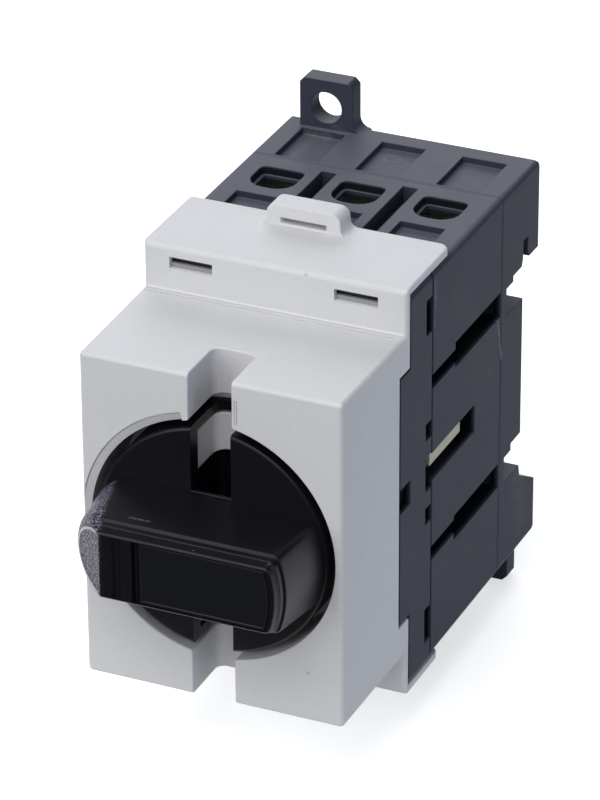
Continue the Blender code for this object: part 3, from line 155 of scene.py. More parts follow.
class Shape:
    """A closed body under construction, cut and joined with others until it is kept as a piece."""

    def __init__(self, name: str, mesh: bpy.types.Mesh) -> None:
        """Links a new object with this mesh into the scene."""
        self.obj = bpy.data.objects.new(name, mesh)
        bpy.context.scene.collection.objects.link(self.obj)

    @classmethod
    def from_bmesh(cls, name: str, bm: bmesh.types.BMesh) -> "Shape":
        """Takes over a bmesh whose faces get their outward sides.

        Args:
            name: Name of the new object.
            bm: The geometry, freed here.

        Returns:
            The new shape.
        """
        bmesh.ops.recalc_face_normals(bm, faces=bm.faces)
        mesh = bpy.data.meshes.new(name)
        bm.to_mesh(mesh)
        bm.free()
        return cls(name, mesh)

    @classmethod
    def slab(cls, name: str, outline: Sequence[Point], span: Span, view: View) -> "Shape":
        """Gives a flat outline a thickness.

        Args:
            name: Name of the new object.
            outline: The outline's points in order.
            span: Start and end along the third axis.
            view: How the outline faces.

        Returns:
            The new shape.
        """
        bm = bmesh.new()
        floor = bm.faces.new([bm.verts.new(view.point(a, b, span[0])) for a, b in outline])
        moved = bmesh.ops.extrude_face_region(bm, geom=[floor])["geom"]
        rise = view.point(0, 0, span[1]) - view.point(0, 0, span[0])
        bmesh.ops.translate(bm, vec=rise, verts=[e for e in moved if isinstance(e, bmesh.types.BMVert)])
        return cls.from_bmesh(name, bm)

    @classmethod
    def box(cls, name: str, x: Span, depth: Span, z: Span) -> "Shape":
        """Makes a box from its limits along x, depth and z."""
        outline = [(x[0], z[0]), (x[1], z[0]), (x[1], z[1]), (x[0], z[1])]
        return cls.slab(name, outline, depth, View.FRONT)

    @classmethod
    def frame(cls, name: str, outer: Outline, inner: Outline, span: Span, view: View) -> "Shape":
        """Makes a flat frame from its outer and inner outline."""
        hole = cls.slab("hole", inner, (span[0] - 1, span[1] + 1), view)
        return cls.slab(name, outer, span, view).cut(hole)

    @classmethod
    def skin(
        cls, name: str, loops: Sequence[Sequence[Vector]], fold: tuple[int, int] | None = None
    ) -> "Shape":
        """Bridges loops of the same number of points and closes both ends.

        Args:
            name: Name of the new object.
            loops: The points of each loop in metres, in order.
            fold: The two points of the last loop between which its end face folds, where it does.

        Returns:
            The new shape.
        """
        bm = bmesh.new()
        rows = [[bm.verts.new(point) for point in loop] for loop in loops]
        for low, high in zip(rows, rows[1:]):
            for i, vert in enumerate(low):
                j = (i + 1) % len(low)
                bm.faces.new((vert, low[j], high[j], high[i]))
        bm.faces.new(rows[0])
        last = rows[-1]
        if fold:
            first, second = fold
            bm.faces.new(last[first : second + 1])
            bm.faces.new(last[second:] + last[: first + 1])
        else:
            bm.faces.new(last)
        return cls.from_bmesh(name, bm)

    @classmethod
    def turned(cls, name: str, profile: Sequence[Point], steps: int = 128) -> "Shape":
        """Turns a profile about the knob's axis.

        Args:
            name: Name of the new object.
            profile: Points of radius and depth, from axis to axis.
            steps: How many sides the turned shape has.

        Returns:
            The new shape.
        """
        bm = bmesh.new()
        verts = [bm.verts.new(spot(radius, depth, 0)) for radius, depth in profile]
        edges = [bm.edges.new(pair) for pair in zip(verts, verts[1:])]
        about = {"axis": (0, 1, 0), "cent": (0, 0, 0), "angle": math.tau}
        bmesh.ops.spin(bm, geom=verts + edges, steps=steps, use_merge=True, **about)
        merge_faces(bm, 0.6, 1e-7)
        return cls.from_bmesh(name, bm)

    @classmethod
    def swept(cls, name: str, profile: Sequence[Point], start: float, end: float, steps: int = 48) -> "Shape":
        """Turns a closed profile of radius and depth about the knob's axis, between two angles in degrees."""
        angles = [math.radians(start + (end - start) * i / steps) for i in range(steps + 1)]
        return cls.skin(
            name, [[spot(r * math.cos(a), y, r * math.sin(a)) for r, y in profile] for a in angles]
        )

    @classmethod
    def copy_of(cls, name: str, node: bpy.types.Object) -> "Shape":
        """Copies a CAD node's solid, with its loose triangles merged into flat faces.

        Args:
            name: Name of the new object.
            node: The CAD node, which stays as it is.

        Returns:
            The new shape.
        """
        bm = bmesh.new()
        bm.from_mesh(node.data)
        merge_faces(bm, 0.6)
        return cls.from_bmesh(name, bm)

    def apply(self) -> "Shape":
        """Replaces the mesh by the result of the object's modifiers.

        Returns:
            The same shape.
        """
        bpy.context.view_layer.update()
        evaluated = self.obj.evaluated_get(bpy.context.evaluated_depsgraph_get())
        mesh = bpy.data.meshes.new_from_object(evaluated)
        self.obj.modifiers.clear()
        old, self.obj.data = self.obj.data, mesh
        bpy.data.meshes.remove(old)
        return self

    def _boolean(self, others: Sequence["Shape"], operation: str) -> "Shape":
        """Runs exact booleans with the other shapes and removes them.

        Args:
            others: The other shapes.
            operation: The modifier's operation.

        Returns:
            The same shape.
        """
        for other in others:
            modifier = self.obj.modifiers.new(operation, "BOOLEAN")
            modifier.operation = operation
            modifier.solver = "EXACT"
            modifier.object = other.obj
        self.apply()
        for other in others:
            bpy.data.objects.remove(other.obj)
        return self

    def cut(self, *others: "Shape") -> "Shape":
        """Takes the other shapes out of this one."""
        return self._boolean(others, "DIFFERENCE")

    def join(self, *others: "Shape") -> "Shape":
        """Adds the other shapes to this one."""
        return self._boolean(others, "UNION")

    def _bevel(self, width: float, segments: int, slide: bool) -> "Shape":
        """Rounds the edges by their weights, which go afterwards.

        Args:
            width: Size of the full rounding.
            segments: Faces across it.
            slide: Whether its ends slide along the edges that aren't rounded.

        Returns:
            The same shape.
        """
        modifier = self.obj.modifiers.new("rounding", "BEVEL")
        modifier.width = width * MM
        modifier.segments = segments
        modifier.limit_method = "WEIGHT"
        modifier.use_clamp_overlap = False
        modifier.loop_slide = slide
        self.apply()
        spare = self.obj.data.attributes.get(WEIGHTS)
        if spare:
            self.obj.data.attributes.remove(spare)
        return self

    def round_edges(self, width: float, segments: int, share: EdgeShare) -> "Shape":
        """Rounds edges by their own share of a width.

        Args:
            width: Size of the full rounding.
            segments: Faces across it.
            share: Gives the share of the width from both ends of an edge in millimetres and depth.

        Returns:
            The same shape.
        """
        mesh = self.obj.data
        weights = mesh.attributes.new(WEIGHTS, "FLOAT", "EDGE")
        places = [reading(vertex.co) for vertex in mesh.vertices]
        for edge in mesh.edges:
            first, last = edge.vertices
            weights.data[edge.index].value = float(share(places[first], places[last]))
        return self._bevel(width, segments, True)

    def soften(self, width: float, segments: int, angle: float, chosen: EdgeTest) -> "Shape":
        """Breaks the sharp edges with a small rounding.

        Args:
            width: Size of the rounding.
            segments: Faces across it.
            angle: Edges sharper than this many degrees are rounded.
            chosen: Test that gets both ends of an edge in millimetres and depth.

        Returns:
            The same shape.
        """
        bm = bmesh.new()
        bm.from_mesh(self.obj.data)
        merge_faces(bm, 0.5)
        weight = bm.edges.layers.float.new(WEIGHTS)
        places = {vertex: reading(vertex.co) for vertex in bm.verts}
        for edge in bm.edges:
            sharp = len(edge.link_faces) == 2 and edge.calc_face_angle() > math.radians(angle)
            edge[weight] = float(sharp and chosen(*(places[vertex] for vertex in edge.verts)))
        bm.to_mesh(self.obj.data)
        bm.free()
        return self._bevel(width, segments, False)

    def hold_inside(self, node: str) -> "Shape":
        """Keeps every point inside the box of the CAD node that the shape stands for.

        Args:
            node: The node's name.

        Returns:
            The same shape.
        """
        low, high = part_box(node)
        for vertex in self.obj.data.vertices:
            vertex.co = [min(max(value, a), b) for value, a, b in zip(vertex.co, low, high)]
        return self

    def shade(self, angle: float = 35.0) -> "Shape":
        """Shades soft across small angles, with flat faces kept flat.

        Args:
            angle: Edges sharper than this many degrees stay sharp.

        Returns:
            The same shape.
        """
        mesh = self.obj.data
        mesh.shade_smooth()
        mesh.set_sharp_from_angle(angle=math.radians(angle))
        modifier = self.obj.modifiers.new("flat_faces", "WEIGHTED_NORMAL")
        modifier.keep_sharp = True
        modifier.weight = 80
        return self.apply()

    def keep_as(self, body: str, material: bpy.types.Material, slot: str, *nodes: str) -> None:
        """Makes the shape a finished piece of the model.

        Args:
            body: Body that it moves with.
            material: Its finish.
            slot: The record's material slot; not used.
            *nodes: CAD nodes that it stands for.
        """
        self.obj.data.materials.clear()
        self.obj.data.materials.append(material)
        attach(self.obj, body)
        if nodes:
            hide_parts(*nodes)
        LOG.info("piece %s on %s, %d faces", self.obj.name, body, len(self.obj.data.polygons))


class Nodes:
    """Short way to add and link the nodes of one tree."""

    def __init__(self, tree: bpy.types.NodeTree) -> None:
        """Keeps the tree that the nodes go into."""
        self.tree = tree
        self.count = 0

    def feed(self, socket: Socket, value: object) -> None:
        """Links an output to a socket, or sets the socket's own value.

        Args:
            socket: The input.
            value: An output socket, or a plain value.
        """
        if isinstance(value, Socket):
            self.tree.links.new(value, socket)
        else:
            socket.default_value = value

    def add(self, kind: str, inputs: dict | None = None, **settings: object) -> bpy.types.Node:
        """Adds a node.

        Args:
            kind: The node's type.
            inputs: Values or output sockets by the input's name or number.
            **settings: Properties of the node.

        Returns:
            The node.
        """
        node = self.tree.nodes.new(kind)
        node.location = (220 * (self.count % 12), -260 * (self.count // 12))
        self.count += 1
        for key, value in settings.items():
            setattr(node, key, value)
        for key, value in (inputs or {}).items():
            self.feed(node.inputs[key], value)
        return node

    def group(self, tree: bpy.types.NodeTree, **inputs: object) -> Socket:
        """Places a shared group with its own values and returns its output."""
        return self.add("ShaderNodeGroup", inputs, node_tree=tree).outputs[0]

    def place(self) -> Socket:
        """Returns the Object coordinates."""
        return self.add("ShaderNodeTexCoord").outputs["Object"]

    def parts(self, vector: Socket) -> bpy.types.NodeOutputs:
        """Returns the X, Y and Z of a vector."""
        return self.add("ShaderNodeSeparateXYZ", {"Vector": vector}).outputs

    def noise(
        self, place: Socket, scale: object, detail: float, roughness: float = 0.5
    ) -> bpy.types.NodeOutputs:
        """Returns the outputs of a noise texture."""
        inputs = {"Vector": place, "Scale": scale, "Detail": detail, "Roughness": roughness}
        return self.add("ShaderNodeTexNoise", inputs).outputs

    def math(self, operation: str, first: object, second: object = 0.0, clamp: bool = False) -> Socket:
        """Adds a Math node and returns its output."""
        node = self.add("ShaderNodeMath", {0: first, 1: second}, operation=operation, use_clamp=clamp)
        return node.outputs[0]

    def times(self, first: object, second: object) -> Socket:
        """Returns the product of two values."""
        return self.math("MULTIPLY", first, second)

    def per_mm(self, size: object) -> Socket:
        """Returns the scale of a pattern from its size in millimetres."""
        return self.math("DIVIDE", 1 / MM, size)

    def vector(self, operation: str, *inputs: object, output: str = "Vector") -> Socket:
        """Adds a Vector Math node and returns one of its outputs.

        Args:
            operation: The node's operation.
            *inputs: Its inputs; the second one of SCALE is the number.
            output: Name of the output.

        Returns:
            The output.
        """
        names = (0, "Scale") if operation == "SCALE" else (0, 1)
        return self.add("ShaderNodeVectorMath", dict(zip(names, inputs)), operation=operation).outputs[output]

    def ramp(self, value: object, span: Span, low: float = 0.0, high: float = 1.0) -> Socket:
        """Maps a span of values smoothly to the range from low to high."""
        inputs = {"Value": value, "From Min": span[0], "From Max": span[1], "To Min": low, "To Max": high}
        return self.add("ShaderNodeMapRange", inputs, interpolation_type="SMOOTHSTEP").outputs["Result"]

    def ramp_mm(self, value: object, span: Span, low: float = 0.0, high: float = 1.0) -> Socket:
        """Maps a span in millimetres smoothly to the range from low to high."""
        return self.ramp(value, (span[0] * MM, span[1] * MM), low, high)

    def mix(self, factor: object, first: object, second: object, blend: str = "MIX") -> Socket:
        """Mixes two colours.

        Args:
            factor: Share of the second colour.
            first: The first colour.
            second: The second colour; a triple is a plain colour.
            blend: How they are mixed.

        Returns:
            The mixed colour.
        """
        node = self.add("ShaderNodeMix", data_type="RGBA", blend_type=blend)
        for key, value in (("Factor_Float", factor), ("A_Color", first), ("B_Color", second)):
            socket = next(s for s in node.inputs if s.identifier == key)
            self.feed(socket, (*value, 1) if isinstance(value, tuple) else value)
        return next(s for s in node.outputs if s.identifier == "Result_Color")

    def dim(self, colour: object, *values: Socket) -> Socket:
        """Multiplies a colour by values.

        Args:
            colour: The colour.
            *values: The values.

        Returns:
            The product.
        """
        for value in values:
            colour = self.mix(1.0, colour, value, "MULTIPLY")
        return colour

    def bump(self, height: Socket, distance: float, strength: object = 1.0, **normal: Socket) -> Socket:
        """Turns a height of so many millimetres into a normal, on top of the Normal that is given."""
        inputs = {"Height": height, "Strength": strength, "Distance": distance * MM, **normal}
        return self.add("ShaderNodeBump", inputs).outputs[0]


def new_tree(
    name: str, kind: str, inputs: dict[str, str | float | Triple], output: str
) -> tuple[Nodes, bpy.types.NodeOutputs]:
    """Starts a node tree with named inputs and one named output.

    Args:
        name: The tree's name.
        kind: Shader or Geometry.
        inputs: Each input's default number or triple, or else its socket type without NodeSocket.
        output: Name of the output.

    Returns:
        The helper that fills the tree, and the sockets of the inputs.
    """
    tree = bpy.data.node_groups.new(name, kind + "NodeTree")
    for key, value in inputs.items():
        typed = value if isinstance(value, str) else "Vector" if isinstance(value, tuple) else "Float"
        socket = tree.interface.new_socket(name=key, in_out="INPUT", socket_type="NodeSocket" + typed)
        if typed != value:
            socket.default_value = value
    typed = "Float" if kind == "Shader" else "Geometry"
    tree.interface.new_socket(name=output, in_out="OUTPUT", socket_type="NodeSocket" + typed)
    nodes = Nodes(tree)
    return nodes, nodes.add("NodeGroupInput").outputs


def row_tree() -> bpy.types.NodeTree:
    """Builds the tree that repeats a shape in a row along x.

    Returns:
        Tree with the inputs Shape, Count, Pitch and Finish.
    """
    inputs = {"Shape": "Object", "Count": "Int", "Pitch": "Float", "Finish": "Material"}
    nodes, given = new_tree("row_of_shapes", "Geometry", inputs, "Geometry")
    gaps = nodes.math("SUBTRACT", given["Count"], 1.0)
    reach = nodes.times(nodes.times(gaps, given["Pitch"]), -0.5)
    start = nodes.add("ShaderNodeCombineXYZ", {"X": reach}).outputs[0]
    step = nodes.add("ShaderNodeCombineXYZ", {"X": given["Pitch"]}).outputs[0]
    line = {"Count": given["Count"], "Start Location": start, "Offset": step}
    points = nodes.add("GeometryNodeMeshLine", line).outputs[0]
    shape = nodes.add("GeometryNodeObjectInfo", {"Object": given["Shape"], "As Instance": True})
    placed = {"Points": points, "Instance": shape.outputs["Geometry"]}
    row = nodes.add("GeometryNodeInstanceOnPoints", placed).outputs[0]
    real = nodes.add("GeometryNodeRealizeInstances", {"Geometry": row}).outputs[0]
    painted = nodes.add("GeometryNodeSetMaterial", {"Geometry": real, "Material": given["Finish"]})
    nodes.add("NodeGroupOutput", {"Geometry": painted.outputs[0]})
    return nodes.tree


def thread_tree() -> bpy.types.NodeTree:
    """Builds the tree that winds a screw's thread round the z axis.

    Returns:
        Tree with the inputs Radius, Turns, Length, Wire and Finish.
    """
    inputs = {"Radius": "Float", "Turns": "Float", "Length": "Float", "Wire": "Float", "Finish": "Material"}
    nodes, given = new_tree("screw_thread", "Geometry", inputs, "Geometry")
    spiral = {"Start Radius": given["Radius"], "End Radius": given["Radius"], "Height": given["Length"]}
    spiral |= {"Resolution": 20, "Rotations": given["Turns"]}
    path = nodes.add("GeometryNodeCurveSpiral", spiral).outputs[0]
    ridge = nodes.add("GeometryNodeCurvePrimitiveCircle", {"Resolution": 5, "Radius": given["Wire"]})
    wound = {"Curve": path, "Profile Curve": ridge.outputs[0], "Fill Caps": True}
    mesh = nodes.add("GeometryNodeCurveToMesh", wound).outputs[0]
    painted = nodes.add("GeometryNodeSetMaterial", {"Geometry": mesh, "Material": given["Finish"]})
    nodes.add("NodeGroupOutput", {"Geometry": painted.outputs[0]})
    return nodes.tree


def grown(name: str, tree: bpy.types.NodeTree, **inputs: object) -> Shape:
    """Runs a Geometry Nodes tree and keeps its result as a plain mesh.

    Args:
        name: Name of the new object.
        tree: The tree.
        **inputs: Values of its named inputs.

    Returns:
        The new shape.
    """
    shape = Shape(name, bpy.data.meshes.new(name))
    modifier = shape.obj.modifiers.new("grow", "NODES")
    modifier.node_group = tree
    sockets = {item.name: item.identifier for item in tree.interface.items_tree if item.in_out == "INPUT"}
    for key, value in inputs.items():
        modifier[sockets[key]] = value
    return shape.apply()


def moulded_grain() -> bpy.types.NodeTree:
    """Builds the spark-eroded texture of a mould.

    Returns:
        Group with the height of the grain, from fine noise and rounder pits.
    """
    nodes, given = new_tree("moulded_grain", "Shader", {"Size": 0.25, "Pits": 0.4}, "Height")
    place, scale = nodes.place(), nodes.per_mm(given["Size"])
    fine = nodes.noise(place, scale, 3.0, 0.6)
    pits = nodes.add("ShaderNodeTexVoronoi", {"Vector": place, "Scale": scale}, feature="SMOOTH_F1")
    share = nodes.times(pits.outputs["Distance"], given["Pits"])
    nodes.add("NodeGroupOutput", {"Height": nodes.math("ADD", fine["Fac"], share)})
    return nodes.tree


def soft_mottle() -> bpy.types.NodeTree:
    """Builds the slow unevenness of a moulded face.

    Returns:
        Group with a value about 1 that varies by the amount given.
    """
    nodes, given = new_tree("soft_mottle", "Shader", {"Size": 6.0, "Amount": 0.05}, "Value")
    noise = nodes.noise(nodes.place(), nodes.per_mm(given["Size"]), 4.0, 0.65)
    swing = nodes.times(nodes.math("SUBTRACT", noise["Fac"], 0.5), given["Amount"])
    nodes.add("NodeGroupOutput", {"Value": nodes.math("ADD", nodes.times(swing, 2.0), 1.0)})
    return nodes.tree


def fine_flecks() -> bpy.types.NodeTree:
    """Builds the sparse specks of dust and dirt.

    Returns:
        Group with a mask that is 1 in a few small round specks.
    """
    sizes = {"Spacing": 1.5, "Radius": 0.08, "Share": 0.2}
    nodes, given = new_tree("fine_flecks", "Shader", sizes, "Mask")
    scale = nodes.per_mm(given["Spacing"])
    cells = nodes.add("ShaderNodeTexVoronoi", {"Vector": nodes.place(), "Scale": scale}).outputs
    radius = nodes.math("DIVIDE", given["Radius"], given["Spacing"])
    near = nodes.math("LESS_THAN", cells["Distance"], radius)
    pick = nodes.add("ShaderNodeSeparateColor", {"Color": cells["Color"]}).outputs[0]
    chosen = nodes.math("LESS_THAN", pick, given["Share"])
    nodes.add("NodeGroupOutput", {"Mask": nodes.times(near, chosen)})
    return nodes.tree


def short_scuff() -> bpy.types.NodeTree:
    """Builds one thin rubbed mark between two points, broken up by noise.

    Returns:
        Group with a mask that is 1 along the mark.
    """
    sizes = {"Start": (0, 0, 0), "End": (0, 0, 1), "Width": 0.2, "Wander": 0.3}
    nodes, given = new_tree("short_scuff", "Shader", sizes, "Mask")
    place = nodes.place()
    drift = nodes.vector("SUBTRACT", nodes.noise(place, 0.6 / MM, 2.0)["Color"], (0.5, 0.5, 0.5))
    moved = nodes.vector("ADD", place, nodes.vector("SCALE", drift, nodes.times(given["Wander"], MM)))
    along = nodes.vector("SUBTRACT", given["End"], given["Start"])
    offset = nodes.vector("SUBTRACT", moved, given["Start"])
    length = nodes.vector("DOT_PRODUCT", along, along, output="Value")
    reached = nodes.vector("DOT_PRODUCT", offset, along, output="Value")
    nearest = nodes.vector("SCALE", along, nodes.math("DIVIDE", reached, length, clamp=True))
    distance = nodes.vector("LENGTH", nodes.vector("SUBTRACT", offset, nearest), output="Value")
    far = nodes.math("DIVIDE", distance, nodes.times(given["Width"], MM))
    grit = nodes.ramp(nodes.noise(place, 4.0 / MM, 3.0)["Fac"], (0.4, 0.62), 0.15)
    mask = nodes.math("MULTIPLY", nodes.math("SUBTRACT", 1.0, far, clamp=True), grit, clamp=True)
    nodes.add("NodeGroupOutput", {"Mask": mask})
    return nodes.tree


def hide_grain() -> bpy.types.NodeTree:
    """Builds the leather-like grain of the knob's nose.

    Returns:
        Group with the height of rounded cells that narrow creases part.
    """
    nodes, given = new_tree("hide_grain", "Shader", {"Size": 0.35}, "Height")
    place, scale = nodes.place(), nodes.per_mm(given["Size"])
    cells = nodes.add("ShaderNodeTexVoronoi", {"Vector": place, "Scale": scale}, feature="DISTANCE_TO_EDGE")
    dome = nodes.ramp(cells.outputs["Distance"], (0.0, 0.4), 0.0, 0.7)
    lumps = nodes.ramp(nodes.noise(place, scale, 2.0)["Fac"], (0.38, 0.62), 0.0, 0.6)
    nodes.add("NodeGroupOutput", {"Height": nodes.math("ADD", dome, lumps)})
    return nodes.tree


class Effects:
    """The shader groups that the finishes share, each built once."""

    def __init__(self) -> None:
        """Builds every group."""
        self.grain = moulded_grain()
        self.mottle = soft_mottle()
        self.flecks = fine_flecks()
        self.scuff = short_scuff()
        self.hide = hide_grain()


def new_material(name: str) -> tuple[bpy.types.Material, Nodes, bpy.types.NodeInputs]:
    """Starts a material.

    Args:
        name: Its name.

    Returns:
        The material, the helper that fills its tree, and the inputs of its shader.
    """
    material = bpy.data.materials.new(name)
    material.use_nodes = True
    tree = material.node_tree
    return material, Nodes(tree), tree.nodes["Principled BSDF"].inputs


@dataclass(frozen=True)
class Scuff:
    """A rubbed mark on a finish, from start to end in millimetres and depth."""

    start: Triple
    end: Triple
    width: float
    strength: float


@dataclass(frozen=True)
class Flecks:
    """Specks of dust: their colour, the share of places that have one, their spacing and radius."""

    colour: Triple
    share: float
    spacing: float
    radius: float


@dataclass(frozen=True)
class PaintedSheenAndShade:
    """Painted sheen: a paler colour where the housings look up, and painted shade: near-black in the grooves
    between them.
    """

    colour: Triple
    groove_shade_colour: Triple = (0.006, 0.0065, 0.009)
    facing: Span = (0.3, 0.95)
    height: Span = (22.0, 24.0)
    depth: Span = (50.2, 50.3)
    groove_half: Span = (16.8, 17.3)

    def lay(self, nodes: Nodes, colour: Socket, *uneven: Socket) -> Socket:
        """Paints the sheen and the grooves' shade on a colour.

        Args:
            nodes: Helper of the material's tree.
            colour: The plain colour.
            *uneven: Values that the painted sheen's colour is multiplied by.

        Returns:
            The colour with the painted sheen and shade.
        """
        facing = nodes.parts(nodes.add("ShaderNodeTexCoord").outputs["Normal"])["Z"]
        parts = nodes.parts(nodes.place())
        rear = tuple(depth - SEAT_DEPTH for depth in self.depth)
        high, behind = nodes.ramp_mm(parts["Z"], self.height), nodes.ramp_mm(parts["Y"], rear)
        outside = nodes.math("MAXIMUM", high, behind)
        # Painted sheen: paler colour on up-facing surfaces of the top and the base.
        sheen_mask = nodes.times(outside, nodes.ramp(facing, self.facing))
        colour = nodes.mix(sheen_mask, colour, nodes.dim(self.colour, *uneven))
        # Painted shade: near-black inside the housings' sides, below the top and in front of the base, in the
        # grooves.
        inward = nodes.ramp_mm(nodes.math("ABSOLUTE", parts["X"]), self.groove_half, 1.0, 0.0)
        grooves = nodes.times(inward, nodes.math("SUBTRACT", 1.0, outside))
        return nodes.mix(grooves, colour, self.groove_shade_colour)


@dataclass(frozen=True)
class Nose:
    """The grained nose of the knob's grip: glints painted on its cells, which are also glossier, and a
    highlight painted on the rim of its facet.
    """

    size: float = 0.27
    depth: float = 0.05
    gloss: float = 0.15
    glints: Span = (0.50, 0.95)
    painted_glint_colour: Triple = (0.27, 0.27, 0.40)
    rim_highlight_colour: Triple = (0.42, 0.42, 0.50)
    border: Span = (-10.5, -9.6)
    lean: float = 0.24
    foot: Span = (-0.9, -0.3)
    front: float = -10.6
    facet_start: float = -10.0
    facet_slope: float = 0.818
    rim_reach: Span = (0.03, 0.06)
    rim_left: Span = (-10.9, -10.2)

    def masks(self, nodes: Nodes) -> tuple[Socket, Socket]:
        """Masks the nose, whose border leans to the left towards the disc, and its facet's rim, where a
        highlight is painted.

        Args:
            nodes: Helper of the material's tree.

        Returns:
            The masks of the nose and of the rim.
        """
        parts = nodes.parts(nodes.place())
        behind = nodes.math("SUBTRACT", parts["Y"], (self.front - SEAT_DEPTH) * MM)
        across = nodes.math("ADD", parts["X"], nodes.times(behind, self.lean))
        foot = tuple(depth - SEAT_DEPTH for depth in self.foot)
        there = nodes.times(
            nodes.ramp_mm(across, self.border, 1.0, 0.0),
            nodes.ramp_mm(parts["Y"], foot, 1.0, 0.0),
        )
        inside = nodes.math("ADD", parts["X"], -self.facet_start * MM)
        inside = nodes.math("ADD", behind, nodes.times(inside, self.facet_slope))
        # Mask of the facet's rim, where a bright line is painted as a highlight.
        rim = nodes.times(
            nodes.ramp_mm(inside, self.rim_reach, 1.0, 0.0),
            nodes.ramp_mm(parts["X"], self.rim_left, 1.0, 0.0),
        )
        return there, rim

    def lay(
        self,
        nodes: Nodes,
        grain: bpy.types.NodeTree,
        shader: bpy.types.NodeInputs,
        colour: Socket,
        normal: Socket,
    ) -> tuple[Socket, Socket]:
        """Grains the nose and paints glints on its cells and a highlight on its facet's rim.

        Args:
            nodes: Helper of the material's tree.
            grain: The shared group of the grain.
            shader: Inputs of the shader, of which the coat is set here.
            colour: The plain colour.
            normal: The plain normal.

        Returns:
            The colour with the painted glints and rim highlight, and the normal with the grain.
        """
        hide = nodes.group(grain, Size=self.size)
        there, rim = self.masks(nodes)
        glint = nodes.times(there, nodes.ramp(hide, self.glints))
        # Painted highlights: bluish glints on the cells and a bright line along the facet's rim.
        colour = nodes.mix(rim, nodes.mix(glint, colour, self.painted_glint_colour), self.rim_highlight_colour)
        nodes.feed(shader["Coat Weight"], nodes.times(glint, self.gloss))
        shader["Coat Roughness"].default_value = 0.3
        return colour, nodes.bump(hide, self.depth, there, Normal=normal)


@dataclass(frozen=True)
class Plastic:
    """A moulded plastic.

    Colours are linear, grain is its size and depth in millimetres, and mottle and speckle are the
    amounts of coarse and fine unevenness.
    """

    name: str
    colour: Triple
    roughness: float
    specular: float = 0.5
    grain: Span = (0.25, 0.012)
    mottle: float = 0.05
    speckle: float = 0.03
    # Painted sheen on up-facing surfaces and painted shade in the grooves.
    painted_sheen_and_shade: PaintedSheenAndShade | None = None
    nose: Nose | None = None
    flecks: Flecks | None = None
    scuff_colour: Triple = (0.5, 0.5, 0.5)
    scuffs: tuple[Scuff, ...] = ()

    def marked(self, nodes: Nodes, effects: Effects, colour: Socket) -> Socket:
        """Puts the flecks and the scuffs on a colour.

        Args:
            nodes: Helper of the material's tree.
            effects: The shared groups.
            colour: The clean colour.

        Returns:
            The marked colour.
        """
        if self.flecks:
            sizes = {"Spacing": self.flecks.spacing, "Radius": self.flecks.radius, "Share": self.flecks.share}
            colour = nodes.mix(nodes.group(effects.flecks, **sizes), colour, self.flecks.colour)
        for mark in self.scuffs:
            ends = {"Start": spot(*mark.start), "End": spot(*mark.end)}
            mask = nodes.group(effects.scuff, Width=mark.width, Wander=mark.width, **ends)
            colour = nodes.mix(nodes.times(mask, mark.strength), colour, self.scuff_colour)
        return colour

    def build(self, effects: Effects) -> bpy.types.Material:
        """Builds the material.

        Args:
            effects: The shared groups.

        Returns:
            The material, patterned on Object coordinates.
        """
        material, nodes, shader = new_material(self.name)
        uneven = (
            nodes.group(effects.mottle, Size=7.0, Amount=self.mottle),
            nodes.group(effects.mottle, Size=0.45, Amount=self.speckle),
        )
        colour = nodes.dim(self.colour, *uneven)
        # Paints sheen on the housings' up-facing surfaces and shade in their grooves.
        if self.painted_sheen_and_shade:
            colour = self.painted_sheen_and_shade.lay(nodes, colour, *uneven)
        colour = self.marked(nodes, effects, colour)
        patchy = nodes.group(effects.mottle, Size=2.5, Amount=0.08)
        nodes.feed(shader["Roughness"], nodes.times(patchy, self.roughness))
        shader["Specular IOR Level"].default_value = self.specular
        size, depth = self.grain
        normal = nodes.bump(nodes.group(effects.grain, Size=size), depth)
        if self.nose:
            colour, normal = self.nose.lay(nodes, effects.hide, shader, colour, normal)
        nodes.feed(shader["Base Color"], colour)
        nodes.feed(shader["Normal"], normal)
        return material


@dataclass(frozen=True)
class Metal:
    """A drawn, plated or pressed metal, with fine lines along one axis."""

    name: str
    colour: Triple
    roughness: float
    stretch: Triple = (1.0, 1.0, 12.0)

    def build(self, effects: Effects) -> bpy.types.Material:
        """Builds the material.

        Args:
            effects: The shared groups.

        Returns:
            The material, patterned on Object coordinates.
        """
        material, nodes, shader = new_material(self.name)
        shader["Metallic"].default_value = 1.0
        mottle = nodes.group(effects.mottle, Size=2.0, Amount=0.12)
        nodes.feed(shader["Base Color"], nodes.dim(self.colour, mottle))
        drawn = nodes.add("ShaderNodeMapping", {"Vector": nodes.place(), "Scale": self.stretch})
        lines = nodes.noise(drawn.outputs[0], 400.0, 4.0)["Fac"]
        rough = nodes.ramp(lines, (0.3, 0.7), self.roughness * 0.8, self.roughness * 1.25)
        nodes.feed(shader["Roughness"], rough)
        nodes.feed(shader["Normal"], nodes.bump(lines, 0.004, 0.6))
        return material


